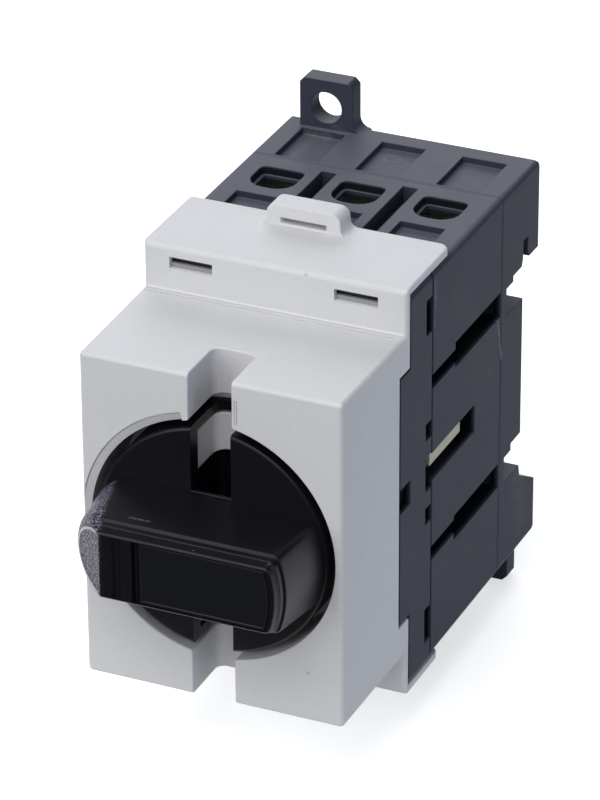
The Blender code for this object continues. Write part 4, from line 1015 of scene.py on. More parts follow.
class Finishes:
    """Every finish of the switch, built once."""

    def __init__(self) -> None:
        """Builds the shared groups and the materials."""
        effects = Effects()
        self.cover = Plastic(
            "light_grey_cover",
            (0.585, 0.585, 0.595),
            0.55,
            specular=0.25,
            grain=(0.28, 0.025),
            mottle=0.03,
            speckle=0.05,
            flecks=Flecks((0.25, 0.25, 0.26), 0.012, 2.4, 0.09),
            scuff_colour=(0.12, 0.12, 0.12),
            scuffs=(
                Scuff((3.97, 19.35, 28.1), (4.1, 19.35, 28.1), 0.25, 1.0),
                Scuff((12.7, 0.0, -15.54), (12.75, 0.0, -15.5), 0.3, 0.8),
            ),
        ).build(effects)
        self.body = Plastic(
            "dark_grey_housing",
            (0.0355, 0.040, 0.057),
            0.50,
            specular=0.045,
            grain=(0.22, 0.014),
            mottle=0.16,
            speckle=0.10,
            # Painted sheen colour on up-facing surfaces; the grooves get painted shade.
            painted_sheen_and_shade=PaintedSheenAndShade((0.100, 0.104, 0.126)),
            flecks=Flecks((0.20, 0.20, 0.22), 0.03, 1.1, 0.05),
            scuff_colour=(0.26, 0.25, 0.24),
            scuffs=(
                Scuff((17.45, 28.1, 26.4), (17.45, 28.1, 19.6), 0.16, 0.8),
                Scuff((17.45, 28.8, 25.2), (17.45, 28.6, 22.2), 0.34, 0.35),
                Scuff((17.45, 48.7, 11.3), (17.45, 49.6, 8.6), 0.42, 0.6),
                Scuff((17.45, 49.6, 8.6), (17.45, 50.5, 4.6), 0.46, 0.7),
                Scuff((17.45, 56.5, -15.0), (17.45, 58.5, -23.0), 3.6, 0.16),
                Scuff((17.45, 46.0, 5.0), (17.45, 36.0, 20.0), 4.0, 0.05),
                Scuff((-13.8, 59.8, 26.4), (-10.6, 59.3, 26.4), 0.9, 0.35),
                Scuff((-12.6, 53.0, 26.4), (-12.2, 58.0, 26.4), 0.9, 0.20),
                Scuff((-10.0, 60.6, 28.0), (-8.4, 60.6, 27.4), 0.7, 0.25),
            ),
        ).build(effects)
        self.dusty = Plastic("dusty_mark", (0.10, 0.10, 0.10), 0.7, mottle=0.5, speckle=0.3).build(effects)
        # Darker grey of the windows' sills: painted shade of the cover's colour.
        self.sill = Plastic("shaded_sill", (0.28, 0.28, 0.275), 0.6, mottle=0.1).build(effects)
        # Near-black sleeves in the wire holes: painted shade.
        self.hole = Plastic("dark_hole_wall", (0.008, 0.0085, 0.012), 0.5, specular=0.1).build(effects)
        self.knob = Plastic(
            "black_knob",
            (0.0026, 0.0026, 0.0052),
            0.34,
            specular=0.24,
            grain=(0.16, 0.008),
            mottle=0.10,
            nose=Nose(),
            flecks=Flecks((0.30, 0.30, 0.33), 0.03, 1.3, 0.05),
            scuff_colour=(0.20, 0.20, 0.24),
            scuffs=(
                Scuff((-7.3, -7.4, 5.5), (-4.7, -7.3, 5.5), 0.22, 0.6),
                Scuff((-6.8, -3.9, 5.9), (-6.7, -3.9, 5.9), 0.10, 1.0),
                Scuff((-10.7, -4.6, 5.9), (-10.6, -4.6, 5.9), 0.10, 1.0),
                Scuff((2.3, -10.1, 4.6), (2.4, -10.1, 4.6), 0.10, 1.0),
            ),
        ).build(effects)
        self.label = Plastic(
            "black_label", (0.0040, 0.0043, 0.0066), 0.30, specular=0.32, grain=(0.12, 0.003)
        ).build(effects)
        self.cream = Plastic("cream_carrier", (0.42, 0.39, 0.29), 0.5, grain=(0.25, 0.006)).build(effects)
        self.steel = Metal("zinc_plated_steel", (0.55, 0.56, 0.55), 0.32).build(effects)
        self.spring = Metal("spring_steel", (0.42, 0.42, 0.43), 0.28, (1.0, 1.0, 1.0)).build(effects)
        self.copper = Metal("tinned_copper", (0.62, 0.60, 0.56), 0.34, (1.0, 1.0, 8.0)).build(effects)


def channel(name: str, half: float, depth: Span, corner: float, z: Span) -> Shape:
    """Builds the cutter of the padlock channel, with rounded inner corners.

    Args:
        name: Name of the new object.
        half: Half the channel's width.
        depth: Its front and its floor.
        corner: Radius of its inner corners.
        z: Its lower and upper end.

    Returns:
        The cutter.
    """
    right = [(half, depth[0]), *arc((half - corner, depth[1] - corner), corner, 0, 90, 8)]
    return Shape.slab(name, mirrored(right), z, View.PLAN)


@dataclass
class FrontCover:
    """The light grey front: box with the knob's well, riser, plates and the tab on top."""

    half_height: float = 22.4
    left: float = 17.8
    right: float = 17.5
    half_face: float = 17.35
    half_body: float = 17.45
    wall: float = 1.5
    riser_depth: float = 19.3
    riser_wall: float = 0.9
    body_z: float = 27.6
    shoulder_z: float = 28.6
    top_depth: float = 33.0
    bottom_depth: float = 30.4
    panel_depth: float = 17.1
    panel_half: float = 17.6
    rounding: float = 0.9
    plate_rounding: float = 0.35
    box_rounding: float = 0.65
    edge_rounding: float = 0.2
    plate_corners: Span = (0.5, 1.5)
    opening: float = 16.3
    well_depth: float = 9.1
    well_floor: float = 1.5
    ring: Span = (8.6, 13.7)
    ring_depth: float = 2.6
    channel_half: float = 2.85
    channel_depth: float = 7.7
    channel_corner: float = 1.2
    tab_centre: float = -0.9
    tab_size: Span = (10.0, 2.7)
    tab_length: float = 3.3
    tab_corner: float = 1.3
    tab_foot: float = 0.8
    slot_half: float = 3.05
    slot_rise: Span = (0.2, 0.95)
    windows: Span = (-11.4, 10.7)
    window_half: float = 2.9
    window_z: float = 26.25
    window_rise: Span = (-0.9, 0.65)
    sill_half: float = 3.0
    sill_rise: Span = (-1.0, -0.3)
    sill_depth: float = 0.5
    band_width: float = 1.0
    band_depth: float = 0.42
    band_angles: Span = (103.0, 181.0)
    line: float = 0.22
    line_depth: float = 0.3
    tick_x: Span = (3.2, 3.62)
    tick_z: Span = (16.7, 20.0)
    tick_line: float = 0.12
    tick_room: tuple[Span, Span] = ((3.0, 3.9), (16.0, 20.5))
    foot_lines: tuple[Span, Span] = ((18.95, 0.16), (18.25, 0.12))
    foot_line: float = 0.14
    foot_end: float = 1.1

    def plate_back(self, z: float) -> float:
        """Returns the depth of the back edge of the plate at this height."""
        return self.top_depth if z > 0 else self.bottom_depth

    def share(self, a: Vector, b: Vector) -> float:
        """Tells how much of the full rounding an edge of the outer form gets.

        Args:
            a: One end of the edge.
            b: Its other end.

        Returns:
            The share, from 0 to 1.
        """
        low, high = sorted((abs(a.z), abs(b.z)))
        if low > self.shoulder_z - TOUCH:
            return 1.0 if max(a.y, b.y) < self.riser_depth + TOUCH else self.plate_rounding
        outer = abs(low - self.body_z) > TOUCH and abs(high - self.body_z) > TOUCH
        foot = min(a.y, b.y) > self.riser_depth - TOUCH and high < self.half_height + TOUCH
        return self.box_rounding if outer and not foot else 0.0

    def shell(self) -> Shape:
        """Builds the outer form with its rounded edges.

        Returns:
            The solid before anything is cut from it.
        """
        back = self.riser_depth + self.riser_wall
        outline = [
            (0, -self.half_height),
            (0, self.half_height),
            (self.riser_depth, self.half_height),
            (self.riser_depth, self.shoulder_z),
            (self.top_depth, self.shoulder_z),
            (self.top_depth, self.body_z),
            (back, self.body_z),
            (back, -self.body_z),
            (self.bottom_depth, -self.body_z),
            (self.bottom_depth, -self.shoulder_z),
            (self.riser_depth, -self.shoulder_z),
            (self.riser_depth, -self.half_height),
        ]
        cover = Shape.slab("cover_moulding", outline, (-self.left, self.right), View.SIDE)
        for vertex in cover.obj.data.vertices:
            if reading(vertex.co).y < 0.1:
                vertex.co.x = math.copysign(self.half_face * MM, vertex.co.x)
        for side, radius in zip((-1, 1), self.plate_corners):
            cover.round_edges(
                radius,
                6,
                lambda a, b: min(a.y, b.y) > self.plate_back(a.z) - 0.1 and side * a.x > 0 < side * b.x,
            )
        return cover.round_edges(self.rounding, 5, self.share)

    def hollow(self, cover: Shape) -> None:
        """Takes the inside and the side panels' openings out of the shell.

        Args:
            cover: The shell.
        """
        back = self.riser_depth + self.riser_wall + BEYOND
        inner_x, inner_z = self.right - self.wall, self.half_height - self.wall
        wide = self.half_body + BEYOND
        cover.cut(
            Shape.box("inside", (-inner_x, inner_x), (self.wall, back), (-inner_z, inner_z)),
            Shape.box("panels", (-wide, wide), (self.panel_depth, back), (-self.panel_half, self.panel_half)),
        )

    def tab(self) -> Shape:
        """Builds the tab that stands on the top plate.

        Returns:
            The tab, reaching into the plate.
        """
        half, high = self.tab_size[0] / 2, self.tab_size[1]
        corner, foot = self.tab_corner, self.tab_foot
        top, low = self.shoulder_z + high, self.shoulder_z - 2 * TOUCH
        right = [(half + foot, low - 0.5), *arc((half + foot, low + foot), foot, 270, 180, 8)]
        right += arc((half - corner, top - corner), corner, 0, 90, 8)
        outline = [(x + self.tab_centre, z) for x, z in mirrored(right)]
        return Shape.slab("tab", outline, (self.top_depth - self.tab_length, self.top_depth), View.FRONT)

    def openings(self, cover: Shape) -> None:
        """Cuts the knob's well, the channel, the windows and the tab's slot.

        Args:
            cover: The hollow shell with its well and tab.
        """
        low, high = self.ring
        floor = self.well_depth + self.well_floor + BEYOND
        profile = [(0, -BEYOND), (self.opening, -BEYOND), (self.opening, self.well_depth)]
        profile += [(high, self.well_depth), (high, self.ring_depth), (low, self.ring_depth)]
        profile += [(low, floor), (0, floor)]
        far = self.half_height + BEYOND
        depth = (-BEYOND, self.channel_depth)
        front = self.top_depth - self.tab_length
        slot_x = (self.tab_centre - self.slot_half, self.tab_centre + self.slot_half)
        slot_z = tuple(self.shoulder_z + rise for rise in self.slot_rise)
        cover.cut(
            Shape.turned("room", profile),
            channel("channel", self.channel_half, depth, self.channel_corner, (-far, far)),
            Shape.box("slot", slot_x, (front - BEYOND, front + self.tab_length / 2), slot_z),
        )
        half = self.window_half
        depth = (self.riser_depth - BEYOND, self.riser_depth + self.riser_wall + 0.1)
        span = tuple(self.window_z + rise for rise in self.window_rise)
        sides = ((middle - half, middle + half) for middle in self.windows)
        cover.cut(*(Shape.box("window", x, depth, span) for x in sides))

    def fine_lines(self, cover: Shape) -> None:
        """Engraves the bevelled band round the knob's opening, the tick and the lines at the riser's foot.

        Args:
            cover: The cover with its openings.
        """
        inner, outer, half = self.opening - 0.1, self.opening + self.band_width, self.line / 2
        profile = [(inner, -1.0), (outer, -1.0), (outer, 0.0), (inner, self.band_depth)]
        band = Shape.swept("band", profile, *self.band_angles)
        deep = self.line_depth
        rim = [(outer - half, -1.0), (outer + half, -1.0), (outer + half, deep), (outer - half, deep)]
        engraving = [Shape.swept("band_rim", rim, *self.band_angles)]
        (left, right), (low, high), line = self.tick_x, self.tick_z, self.tick_line
        for x, z in (
            ((left, left + line), (low, high)),
            ((right - line, right), (low, high)),
            ((left, right), (high - line, high)),
            ((left, right), (low, low + line)),
        ):
            engraving.append(Shape.box("tick_line", x, (-1.0, line), z))
        foot = self.half_height
        along = (-self.left - 1, self.right - self.foot_end)
        for back, deep in self.foot_lines:
            depth = (back - self.foot_line, back)
            engraving.append(Shape.box("foot_line", along, depth, (foot - deep, foot + 1)))
        cover.cut(band)
        cover.cut(*engraving)

    def is_soft(self, a: Vector, b: Vector) -> bool:
        """Tells whether an edge is rounded.

        Args:
            a: One end of the edge.
            b: Its other end.

        Returns:
            Whether it is clear of the fine lines, and of the back, which a rounding would pass.
        """
        at_body = all(abs(abs(point.z) - self.body_z) < 0.05 for point in (a, b))
        at_back = at_body and min(a.y, b.y) > self.riser_depth + 2
        return not at_back and not (self.is_fine(a) and self.is_fine(b))

    def is_fine(self, a: Vector) -> bool:
        """Tells whether a point belongs to the engraved lines, windows or tab's feet, whose edges stay sharp.

        Args:
            a: The point.

        Returns:
            Whether it does.
        """
        radius = math.hypot(a.x, a.z)
        (tick_left, tick_right), (tick_low, tick_high) = self.tick_room
        (last_line, _), (first_line, _) = self.foot_lines
        tab_x, tab_half = abs(a.x - self.tab_centre), self.tab_size[0] / 2
        band = a.y < self.band_depth + 0.1 and self.opening - 0.15 < radius < self.opening + 1.3
        at_end = band and 100 < math.degrees(math.atan2(a.z, a.x)) % 360 < 183
        on_tick = a.y < 0.2 and tick_left < a.x < tick_right and tick_low < a.z < tick_high
        on_foot = abs(a.z - self.half_height) < 0.5 and first_line - 0.2 < a.y < last_line + 0.1
        on_window = self.riser_depth - 0.1 < a.y < self.riser_depth + 1.2 and abs(a.z - self.window_z) < 1.2
        off_tab = tab_x > tab_half - 0.05 or a.z < self.shoulder_z + 2 * TOUCH
        rise = a.z - self.shoulder_z
        at_tab = a.y > self.top_depth - self.tab_length - 0.1 and -0.45 < rise < self.tab_foot
        near_tab = tab_x < tab_half + self.tab_foot + 0.1
        return at_end or on_tick or on_foot or on_window or (off_tab and at_tab and near_tab)

    def build(self, finishes: Finishes) -> None:
        """Builds the cover with its windows' sills, in a darker grey of painted shade, and puts it in the
        place of its node.

        Args:
            finishes: The built finishes.
        """
        cover = self.shell()
        self.hollow(cover)
        half_wall = self.wall / 2
        well_x = self.half_body - half_wall
        circle = arc((0, 0), self.opening + self.wall, 0, 360, 128)[:-1]
        rim = [(max(-well_x, min(well_x, x)), z) for x, z in circle]
        well = Shape.slab("well", rim, (half_wall, self.well_depth + self.well_floor), View.FRONT)
        boss_x, boss_z = self.channel_half + self.wall, self.half_height - half_wall
        boss_depth = (half_wall, self.channel_depth + self.wall)
        boss = Shape.box("boss", (-boss_x, boss_x), boss_depth, (-boss_z, boss_z))
        cover.join(well, boss, self.tab())
        self.openings(cover)
        self.fine_lines(cover)
        cover.soften(self.edge_rounding, 3, 50, self.is_soft).hold_inside("front_cover").shade()
        cover.keep_as("housing", finishes.cover, "light_grey_plastic", "front_cover")
        # The sills are a darker grey than the cover: painted shade in the windows.
        depth = (self.riser_depth + self.sill_depth, self.riser_depth + self.riser_wall)
        span = tuple(self.window_z + rise for rise in self.sill_rise)
        for side, middle in zip(("left", "right"), self.windows):
            x = (middle - self.sill_half, middle + self.sill_half)
            sill = Shape.box("window_sill_" + side, x, depth, span)
            sill.shade().keep_as("housing", finishes.sill, "light_grey_plastic")


@dataclass
class Knob:
    """The rotary knob: disc with a skirt, the grip with its grained nose, and the label's plate.

    The steps list heights above the disc with half the flanks' width, the ends' radius and half the
    nose's width at them.
    """

    disc_radius: float = 15.3
    disc_thickness: float = 2.1
    skirt_wall: float = 1.2
    skirt_depth: float = 8.6
    hub_radius: float = 8.2
    hub_depth: float = 13.5
    socket_half: float = 3.65
    socket_wall: float = 1.5
    grip_height: float = 10.6
    heights: tuple[float, ...] = (
        *(0.0, 2.0, 4.0, 6.0, 7.4, 8.3, 8.5, 8.6, 8.66, 8.72, 9.0, 9.28, 9.4, 9.48),
        *(9.7, 9.85, 10.0, 10.12, 10.26, 10.35, 10.44, 10.5, 10.55, 10.58, 10.6),
    )
    flank_steps: Steps = (
        *((0.0, 6.30), (8.30, 5.42), (8.50, 5.38), (8.60, 5.28), (8.66, 5.12), (8.72, 5.00)),
        *((9.28, 4.93), (9.40, 4.88), (9.48, 4.78), (10.26, 4.54), (10.44, 4.47), (10.55, 4.36)),
        (10.60, 4.22),
    )
    end_steps: Steps = (
        *((0.0, 15.0), (8.30, 13.85), (8.60, 13.75), (8.72, 13.50), (9.40, 13.40)),
        *((9.48, 13.32), (10.26, 13.09), (10.44, 13.04), (10.55, 12.93), (10.60, 12.80)),
    )
    nose_steps: Steps = (
        *((0.0, 6.65), (2.0, 6.45), (6.0, 6.05), (8.6, 5.68), (9.0, 5.60), (9.4, 5.48)),
        *((9.7, 5.34), (10.0, 5.14), (10.25, 4.90), (10.42, 4.66), (10.54, 4.44), (10.60, 4.22)),
    )
    flank_taper: float = 0.034
    flank_x: tuple[float, ...] = (9, 5, 1, -3, -7)
    end_steps_count: int = 10
    end_corner: float = 0.7
    end_reach: float = 0.92
    corner_steps: int = 5
    nose_start: float = -10.0
    nose_length: float = 5.8
    nose_blend: float = 3.5
    nose_steps_count: int = 18
    facet_slope: float = 0.818
    facet_rim: float = 0.13
    facet_step: Span = (0.08, 0.07)
    grooves: tuple[tuple[Span, float, float], ...] = (((-8.3, -7.35), 0.42, 4.05), ((-5.65, -4.95), 0.6, 4.2))
    groove_slope: float = 0.22
    channel_half: float = 2.65
    channel_corner: float = 1.2
    tunnel_front: float = 0.5
    channel_depth: float = 7.7
    slot_start: float = 6.45
    label_left: float = -4.8
    label_right: float = 12.5
    label_half: float = 4.15
    label_recess: float = 0.8
    label_rings: Steps = (
        *((0.08, -0.05), (0.08, -0.70), (0.12, -0.77), (0.2, -0.80)),
        *((0.36, -0.80), (0.43, -0.77), (0.47, -0.70)),
    )

    @staticmethod
    def between(steps: Steps, height: float) -> float:
        """Reads a size at a height off a list of heights and sizes.

        Args:
            steps: The list.
            height: The height.

        Returns:
            The size.
        """
        for (low, first), (high, last) in zip(steps, steps[1:]):
            if height <= high:
                return first + (last - first) * (height - low) / (high - low)
        return steps[-1][1]

    def half_ring(self, height: float) -> Outline:
        """Draws the upper half of the grip's front view, from its right end to its left end.

        Args:
            height: Height above the disc.

        Returns:
            The half's points.
        """
        half = self.between(self.flank_steps, height)
        end = self.between(self.end_steps, height)
        taper = self.flank_taper * max(0.0, 1 - height / self.flank_steps[1][0])
        lean = math.asin((half - taper * end * self.end_reach) / end)
        corner = Vector((end * math.cos(lean), end * math.sin(lean)))
        ring = arc((0, 0), end, 0, math.degrees(lean - self.end_corner / end), self.end_steps_count)
        first = Vector(ring[-1])
        last = corner + Vector((-1, taper)) * self.end_corner
        for i in range(1, self.corner_steps + 1):
            t = i / self.corner_steps
            ring.append(tuple(first * (1 - t) ** 2 + corner * 2 * t * (1 - t) + last * t**2))
        ring += [(x, half - taper * x) for x in self.flank_x]
        side = half - taper * self.nose_start
        nose = self.between(self.nose_steps, height)
        reach = self.nose_length - (self.nose_steps[0][1] - nose) / 2
        for i in range(self.nose_steps_count + 1):
            turn = math.radians(90 + 90 * i / self.nose_steps_count)
            blend = min(1.0, i / self.nose_blend)
            rise = side + (nose - side) * blend * blend * (3 - 2 * blend)
            ring.append((self.nose_start + reach * math.cos(turn), rise * math.sin(turn)))
        return ring

    def grip(self) -> Shape:
        """Builds the grip from rings, whose nose is cut by a slanted flat facet.

        Returns:
            The grip, reaching into the disc.
        """
        loops = []
        for height in (None, *self.heights):
            upper = self.half_ring(height or 0.0)
            ring = upper + [(x, -z) for x, z in reversed(upper[1:-1])]
            drop = [min(0.0, x - self.nose_start) * self.facet_slope / self.grip_height for x, _ in ring]
            depths = [self.disc_thickness / 2 if height is None else -height * (1 + d) for d in drop]
            loops.append([spot(x, depth, z) for (x, z), depth in zip(ring, depths)])
        first = self.end_steps_count + 1 + self.corner_steps + len(self.flank_x)
        grip = Shape.skin("grip", loops, (first, len(loops[0]) - first))
        bm = bmesh.new()
        bm.from_mesh(grip.obj.data)
        facet = [f for f in bm.faces if len(f.verts) > 8 and f.normal.x < -0.3]
        bmesh.ops.inset_individual(bm, faces=facet, thickness=self.facet_rim * MM, depth=0)
        width, deep = self.facet_step
        bmesh.ops.inset_individual(bm, faces=facet, thickness=width * MM, depth=-deep * MM)
        bm.to_mesh(grip.obj.data)
        bm.free()
        return grip

    def label_outline(self, inset: float) -> Outline:
        """Draws the label's place: a rectangle whose right side follows the knob's rim.

        Args:
            inset: How much smaller than the recess it is.

        Returns:
            The points.
        """
        half, left, right = self.label_half - inset, self.label_left + inset, self.label_right - inset
        lean = math.degrees(math.asin(half / right))
        return [(left, half), (left, -half), *arc((0, 0), right, -lean, lean, 24)]

    def finger_grooves(self) -> list[Shape]:
        """Builds the cutters of the two rounded grooves between the nose and the label.

        Returns:
            The cutters.
        """
        front, slope = -self.grip_height, self.groove_slope
        cutters = []
        for (left, right), deep, half in self.grooves:
            side = ((slope, -0.001), (slope / 3, deep * 0.25), (-slope / 4, deep * 0.8), (-slope, deep))
            outline = [(left - slope, front - 1.0), (right + slope, front - 1.0)]
            outline += [(right + a, front + b) for a, b in side]
            outline += [(left - a, front + b) for a, b in reversed(side)]
            cutters.append(Shape.slab("groove", outline, (-half, half), View.PLAN))
        return cutters

    def body(self) -> Shape:
        """Builds the disc with its skirt and hub.

        Returns:
            The turned body.
        """
        outer, inner = self.disc_radius, self.disc_radius - self.skirt_wall
        profile = [(0, 0), (outer - 0.5, 0), (outer - 0.25, 0.06), (outer - 0.08, 0.2), (outer, 0.5)]
        profile += [(outer, self.skirt_depth), (inner, self.skirt_depth), (inner, self.disc_thickness)]
        profile += [(self.hub_radius, self.disc_thickness), (self.hub_radius, self.hub_depth)]
        profile += [(0, self.hub_depth)]
        return Shape.turned("knob_moulding", profile)

    def on_slot(self, a: Vector, b: Vector) -> bool:
        """Tells whether an edge belongs to the slots through the disc."""
        across = max(abs(a.x), abs(b.x)) < self.channel_half + 0.05
        return min(abs(a.z), abs(b.z)) > self.slot_start - 0.05 and across and max(a.y, b.y) < TOUCH

    def build(self, finishes: Finishes) -> None:
        """Builds the knob and its label in the places of their nodes.

        Args:
            finishes: The built finishes.
        """
        knob = self.body()
        knob.join(self.grip())
        far = self.disc_radius + BEYOND
        half, front = self.socket_half, -self.grip_height
        depth = (self.tunnel_front, self.channel_depth)
        tunnel = channel("tunnel", self.channel_half, depth, self.channel_corner, (-far, far))
        depth = (self.channel_depth + self.socket_wall, self.hub_depth + BEYOND)
        socket = Shape.box("socket", (-half, half), depth, (-half, half))
        depth = (front - BEYOND, front + self.label_recess)
        recess = Shape.slab("recess", self.label_outline(0), depth, View.FRONT)
        knob.cut(tunnel, socket, recess, *self.finger_grooves())
        x, depth = (-self.channel_half, self.channel_half), (-BEYOND, self.tunnel_front + 0.5)
        ends = ((self.slot_start, far), (-far, -self.slot_start))
        knob.cut(*(Shape.box("slot", x, depth, z) for z in ends))
        knob.soften(0.15, 3, 50, self.on_slot)
        knob.shade().keep_as("rotor", finishes.knob, "black_plastic", "knob")
        floor = front + self.label_recess
        loops = []
        for inset, rise in self.label_rings:
            loops.append([spot(x, floor + rise, z) for x, z in self.label_outline(inset)])
        plate = Shape.skin("label_plate", loops)
        plate.shade().keep_as("rotor", finishes.label, "black_label", "knob_label")


@dataclass
class Housings:
    """The dark housings and other moulded parts that keep their CAD shape, with broken edges."""

    nodes: dict
    half_width: float = 17.45
    half_height: float = 27.3
    pitch: float = 11.2
    base_front: float = 50.3
    pole_front: float = 27.4
    top_reach: float = 4.0
    side_reach: float = 0.3
    guide_half: float = 9.0
    guide_top: float = -12.0
    seam_gap: float = 0.02
    tongue_inset: float = 0.04
    tongue_width: float = 1.06
    hole_half: float = 3.05
    hole_depth: Span = (41.3, 47.1)
    hole_corners: Span = (2.5, 0.8)
    lip_insets: Span = (0.02, 0.5)
    # The sleeves are painted shade inside the wire holes.
    lip_z: Span = (25.78, 26.2)
    shade_sleeve_insets: Span = (0.01, 0.06)
    shade_sleeve_z: Span = (25.78, 27.05)
    mark_place: Point = (-0.35, 56.8)
    mark_radii: Span = (1.2, 0.9)
    mark_z: Span = (26.39, 26.43)

    def build(self, finishes: Finishes) -> None:
        """Copies each housing, breaks its edges and puts it in the place of its node.

        Args:
            finishes: The built finishes.
        """
        for node, body, material, slot, width in (
            ("pole_housing", "housing", finishes.body, "dark_grey_plastic", 0.12),
            ("base_housing", "housing", finishes.body, "dark_grey_plastic", 0.14),
            ("mechanism_housing", "housing", finishes.body, "dark_grey_plastic", 0.10),
            ("rail_clip", "clip", finishes.body, "dark_grey_plastic", 0.12),
            ("contact_carrier", "carrier", finishes.cream, "cream_thermoset", 0.10),
        ):
            shape = Shape.copy_of(node + "_moulding", self.nodes[node])
            shape.soften(width, 2, 50, self.is_clear).hold_inside(node).shade()
            shape.keep_as(body, material, slot, node)
        self.seam_tongue(finishes)
        self.wire_holes(finishes)
        self.ejector_mark(finishes)

    def is_clear(self, a: Vector, b: Vector) -> bool:
        """Tells whether an edge is clear of the places where roundings would meet.

        Args:
            a: One end of the edge.
            b: Its other end.

        Returns:
            Whether it is clear of the clip's guides and of the poles' chambers.
        """
        within = max(abs(a.x), abs(b.x)) < self.guide_half and max(a.z, b.z) < self.guide_top
        if min(a.y, b.y) > self.base_front - TOUCH:
            return not within
        on_top = min(a.z, b.z) > self.half_height - self.top_reach
        on_side = min(abs(a.x), abs(b.x)) > self.half_width - self.side_reach
        return on_top or on_side or max(a.y, b.y) < self.pole_front

    def seam_tongue(self, finishes: Finishes) -> None:
        """Closes the seam between the pole housing and the base with the tongue that centres them.

        Args:
            finishes: The built finishes.
        """
        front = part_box("pole_housing")[1][1] / MM + SEAT_DEPTH
        span = (front + self.seam_gap, self.base_front - self.seam_gap)
        x, z = self.half_width - self.tongue_inset, self.half_height - self.tongue_inset
        inner = rounded_rectangle(x - self.tongue_width, z - self.tongue_width, 0.4)
        tongue = Shape.frame("seam_tongue", rounded_rectangle(x, z, 0.9), inner, span, View.FRONT)
        tongue.shade().keep_as("housing", finishes.body, "dark_grey_plastic")

    def hole_outline(self, inset: float) -> Outline:
        """Draws the plan of a wire hole, made smaller by an inset.

        Args:
            inset: The inset.

        Returns:
            The points.
        """
        half, (front, back) = self.hole_half - inset, self.hole_depth
        wide, small = self.hole_corners[0] - inset, max(self.hole_corners[1] - inset, 0.3)
        right = arc((half - wide, front + inset + wide), wide, -90, 0, 10)
        right += arc((half - small, back - inset - small), small, 0, 90, 4)
        return mirrored(right)

    def wire_holes(self, finishes: Finishes) -> None:
        """Sets a narrow lip and a near-black sleeve of painted shade in every wire hole, three above and
        three below.

        Args:
            finishes: The built finishes.
        """
        row = row_tree()
        kinds = (
            ("wire_lips_", self.lip_insets, self.lip_z, finishes.body),
            # The sleeves' near-black is painted shade inside the holes.
            ("hole_sleeves_", self.shade_sleeve_insets, self.shade_sleeve_z, finishes.hole),
        )
        for end, up in (("top", 1), ("bottom", -1)):
            for name, insets, z, finish in kinds:
                outer, inner = (self.hole_outline(inset) for inset in insets)
                span = tuple(sorted(up * value for value in z))
                one = Shape.frame("one_hole", outer, inner, span, View.PLAN)
                place = {"Shape": one.obj, "Count": 3, "Pitch": self.pitch * MM, "Finish": finish}
                shape = grown(name + end, row, **place)
                bpy.data.objects.remove(one.obj)
                shape.shade().keep_as("housing", finish, "dark_grey_plastic")

    def ejector_mark(self, finishes: Finishes) -> None:
        """Lays the faint ring that an ejector pin left on the floor of the middle rear recess.

        Args:
            finishes: The built finishes.
        """
        outer, inner = (arc(self.mark_place, radius, 0, 360, 40)[:-1] for radius in self.mark_radii)
        mark = Shape.frame("ejector_mark", outer, inner, self.mark_z, View.PLAN)
        mark.shade().keep_as("housing", finishes.dusty, "dark_grey_plastic")


@dataclass
class Threads:
    """The threads of the terminal screws."""

    turns: float = 11.0
    wire: float = 0.11
    radius: float = 1.72
    head: float = 3.4
    end: float = 0.3

    def build(self, nodes: dict, finishes: Finishes) -> None:
        """Winds a thread round the shank of every terminal screw.

        Args:
            nodes: The CAD nodes by name.
            finishes: The built finishes.
        """
        tree = thread_tree()
        for name in (name for name in nodes if name.startswith("terminal_screw")):
            low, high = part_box(name)
            size = {"Radius": self.radius * MM, "Turns": self.turns, "Wire": self.wire * MM}
            size["Length"] = high[1] - low[1] - self.head * MM
            thread = grown(name.replace("terminal_screw", "thread"), tree, Finish=finishes.steel, **size)
            middle = Vector(((low[0] + high[0]) / 2, high[1] - self.end * MM, (low[2] + high[2]) / 2))
            thread.obj.data.transform(Matrix.Translation(middle) @ Matrix.Rotation(math.pi / 2, 4, "X"))
            thread.shade().keep_as(name.replace("terminal_", ""), finishes.steel, "zinc_plated_steel")


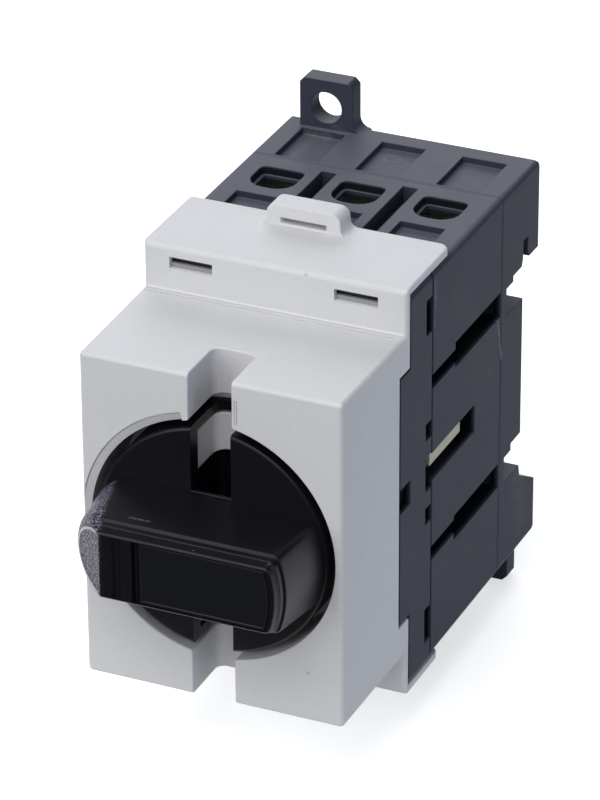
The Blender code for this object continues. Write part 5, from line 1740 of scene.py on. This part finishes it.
@dataclass
class Studio:
    """Floor, lamps and camera, with places in metres."""

    lowest: float = -34.25
    floor_size: Triple = (3.0, 1.6, 1.0)
    floor_middle: float = 0.722
    floor_glow: float = 0.62
    aim: Triple = (0.0, -0.03, 0.0)
    air: tuple[Triple, float] = ((0.86, 0.91, 1.0), 0.16)
    lens: float = 218.99
    camera_place: Triple = (0.219488, -0.520669, 0.292489)
    camera_turn: Triple = (61.93307, 0.31083, 23.98981)

    def floor(self) -> None:
        """Lays a wide pale floor that shows white and keeps the object's shadow."""
        bpy.ops.mesh.primitive_plane_add(size=1.0, location=(0, self.floor_middle, self.lowest * MM))
        floor = bpy.context.object
        floor.name = "studio_floor"
        floor.scale = self.floor_size
        material, nodes, shader = new_material("pale_floor")
        path = nodes.add("ShaderNodeLightPath").outputs
        shown = nodes.math("MAXIMUM", path["Is Camera Ray"], path["Is Glossy Ray"])
        shown = nodes.math("MAXIMUM", shown, path["Is Transmission Ray"])
        shader["Base Color"].default_value = (0.8, 0.8, 0.8, 1)
        shader["Roughness"].default_value = 0.9
        shader["Specular IOR Level"].default_value = 0.0
        shader["Emission Color"].default_value = (1, 1, 1, 1)
        nodes.feed(shader["Emission Strength"], nodes.times(shown, self.floor_glow))
        floor.data.materials.append(material)

    def lamp(self, name: str, place: Triple, size: Span, power: float, colour: Triple = (1, 1, 1)) -> None:
        """Adds one soft lamp that points at the object.

        Args:
            name: Its name.
            place: Where it hangs.
            size: Its width and height.
            power: Its power in watts.
            colour: Its light.
        """
        light = bpy.data.lights.new(name, "AREA")
        light.shape = "RECTANGLE"
        light.size, light.size_y = size
        light.energy = power
        light.color = colour
        obj = bpy.data.objects.new(name, light)
        obj.location = place
        obj.rotation_euler = (Vector(self.aim) - Vector(place)).to_track_quat("-Z", "Y").to_euler()
        bpy.context.scene.collection.objects.link(obj)

    def lights(self) -> None:
        """Hangs the lamps and sets the dim surroundings."""
        self.lamp("overhead", (-0.10, -0.32, 0.52), (0.6, 0.45), 2.75, (1.0, 0.99, 0.98))
        self.lamp("front_left", (-0.42, -0.72, 0.20), (0.45, 0.55), 2.15)
        self.lamp("front_fill", (0.12, -0.80, 0.34), (0.4, 0.4), 1.15)
        self.lamp("side_right", (0.70, -0.25, 0.25), (0.35, 0.5), 1.25, (0.64, 0.78, 1.0))
        self.lamp("back_sheet", (-0.35, 0.75, 0.42), (0.9, 0.55), 5.2, (0.90, 0.93, 1.0))
        world = bpy.data.worlds.new("soft_surroundings")
        bpy.context.scene.world = world
        world.use_nodes = True
        background = world.node_tree.nodes["Background"]
        colour, strength = self.air
        background.inputs["Color"].default_value = (*colour, 1)
        background.inputs["Strength"].default_value = strength

    def camera(self) -> None:
        """Places the camera at the photograph's angle."""
        data = bpy.data.cameras.new("studio_camera")
        data.lens = self.lens
        data.sensor_width = 36.0
        data.clip_end = 20.0
        obj = bpy.data.objects.new("studio_camera", data)
        obj.location = self.camera_place
        obj.rotation_euler = Euler([math.radians(angle) for angle in self.camera_turn], "XYZ")
        bpy.context.scene.collection.objects.link(obj)
        bpy.context.scene.camera = obj

    def build(self) -> None:
        """Builds the whole studio."""
        self.floor()
        self.lights()
        self.camera()
        bpy.context.scene.view_settings.view_transform = "Standard"


def finish_nodes(nodes: dict, finishes: Finishes) -> None:
    """Gives every carried-over CAD node its finish.

    Args:
        nodes: The CAD nodes by name.
        finishes: The built finishes.
    """
    by_start = (
        ("terminal_bar", finishes.copper),
        ("contact_bridge", finishes.copper),
        ("terminal_screw", finishes.steel),
        ("clamp_cage", finishes.steel),
        ("contact_spring", finishes.spring),
        ("toggle_spring", finishes.spring),
        ("rail_clip_spring", finishes.spring),
        ("spindle", finishes.cream),
        ("contact_carrier", finishes.cream),
        ("front_cover", finishes.cover),
        ("knob_label", finishes.label),
        ("knob", finishes.knob),
        ("", finishes.body),
    )
    for name, node in nodes.items():
        material = next(value for start, value in by_start if name.startswith(start))
        node.data.materials.clear()
        node.data.materials.append(material)
        LOG.info("finish %s on %s", material.name, name)


def main() -> None:
    """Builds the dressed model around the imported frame."""
    logging.basicConfig(level=logging.INFO, format="%(message)s")
    for old in list(bpy.data.objects):
        bpy.data.objects.remove(old)
    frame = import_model()
    finishes = Finishes()
    finish_nodes(frame["nodes"], finishes)
    FrontCover().build(finishes)
    Knob().build(finishes)
    Housings(frame["nodes"]).build(finishes)
    Threads().build(frame["nodes"], finishes)
    Studio().build()


if __name__ == "__main__":
    main()
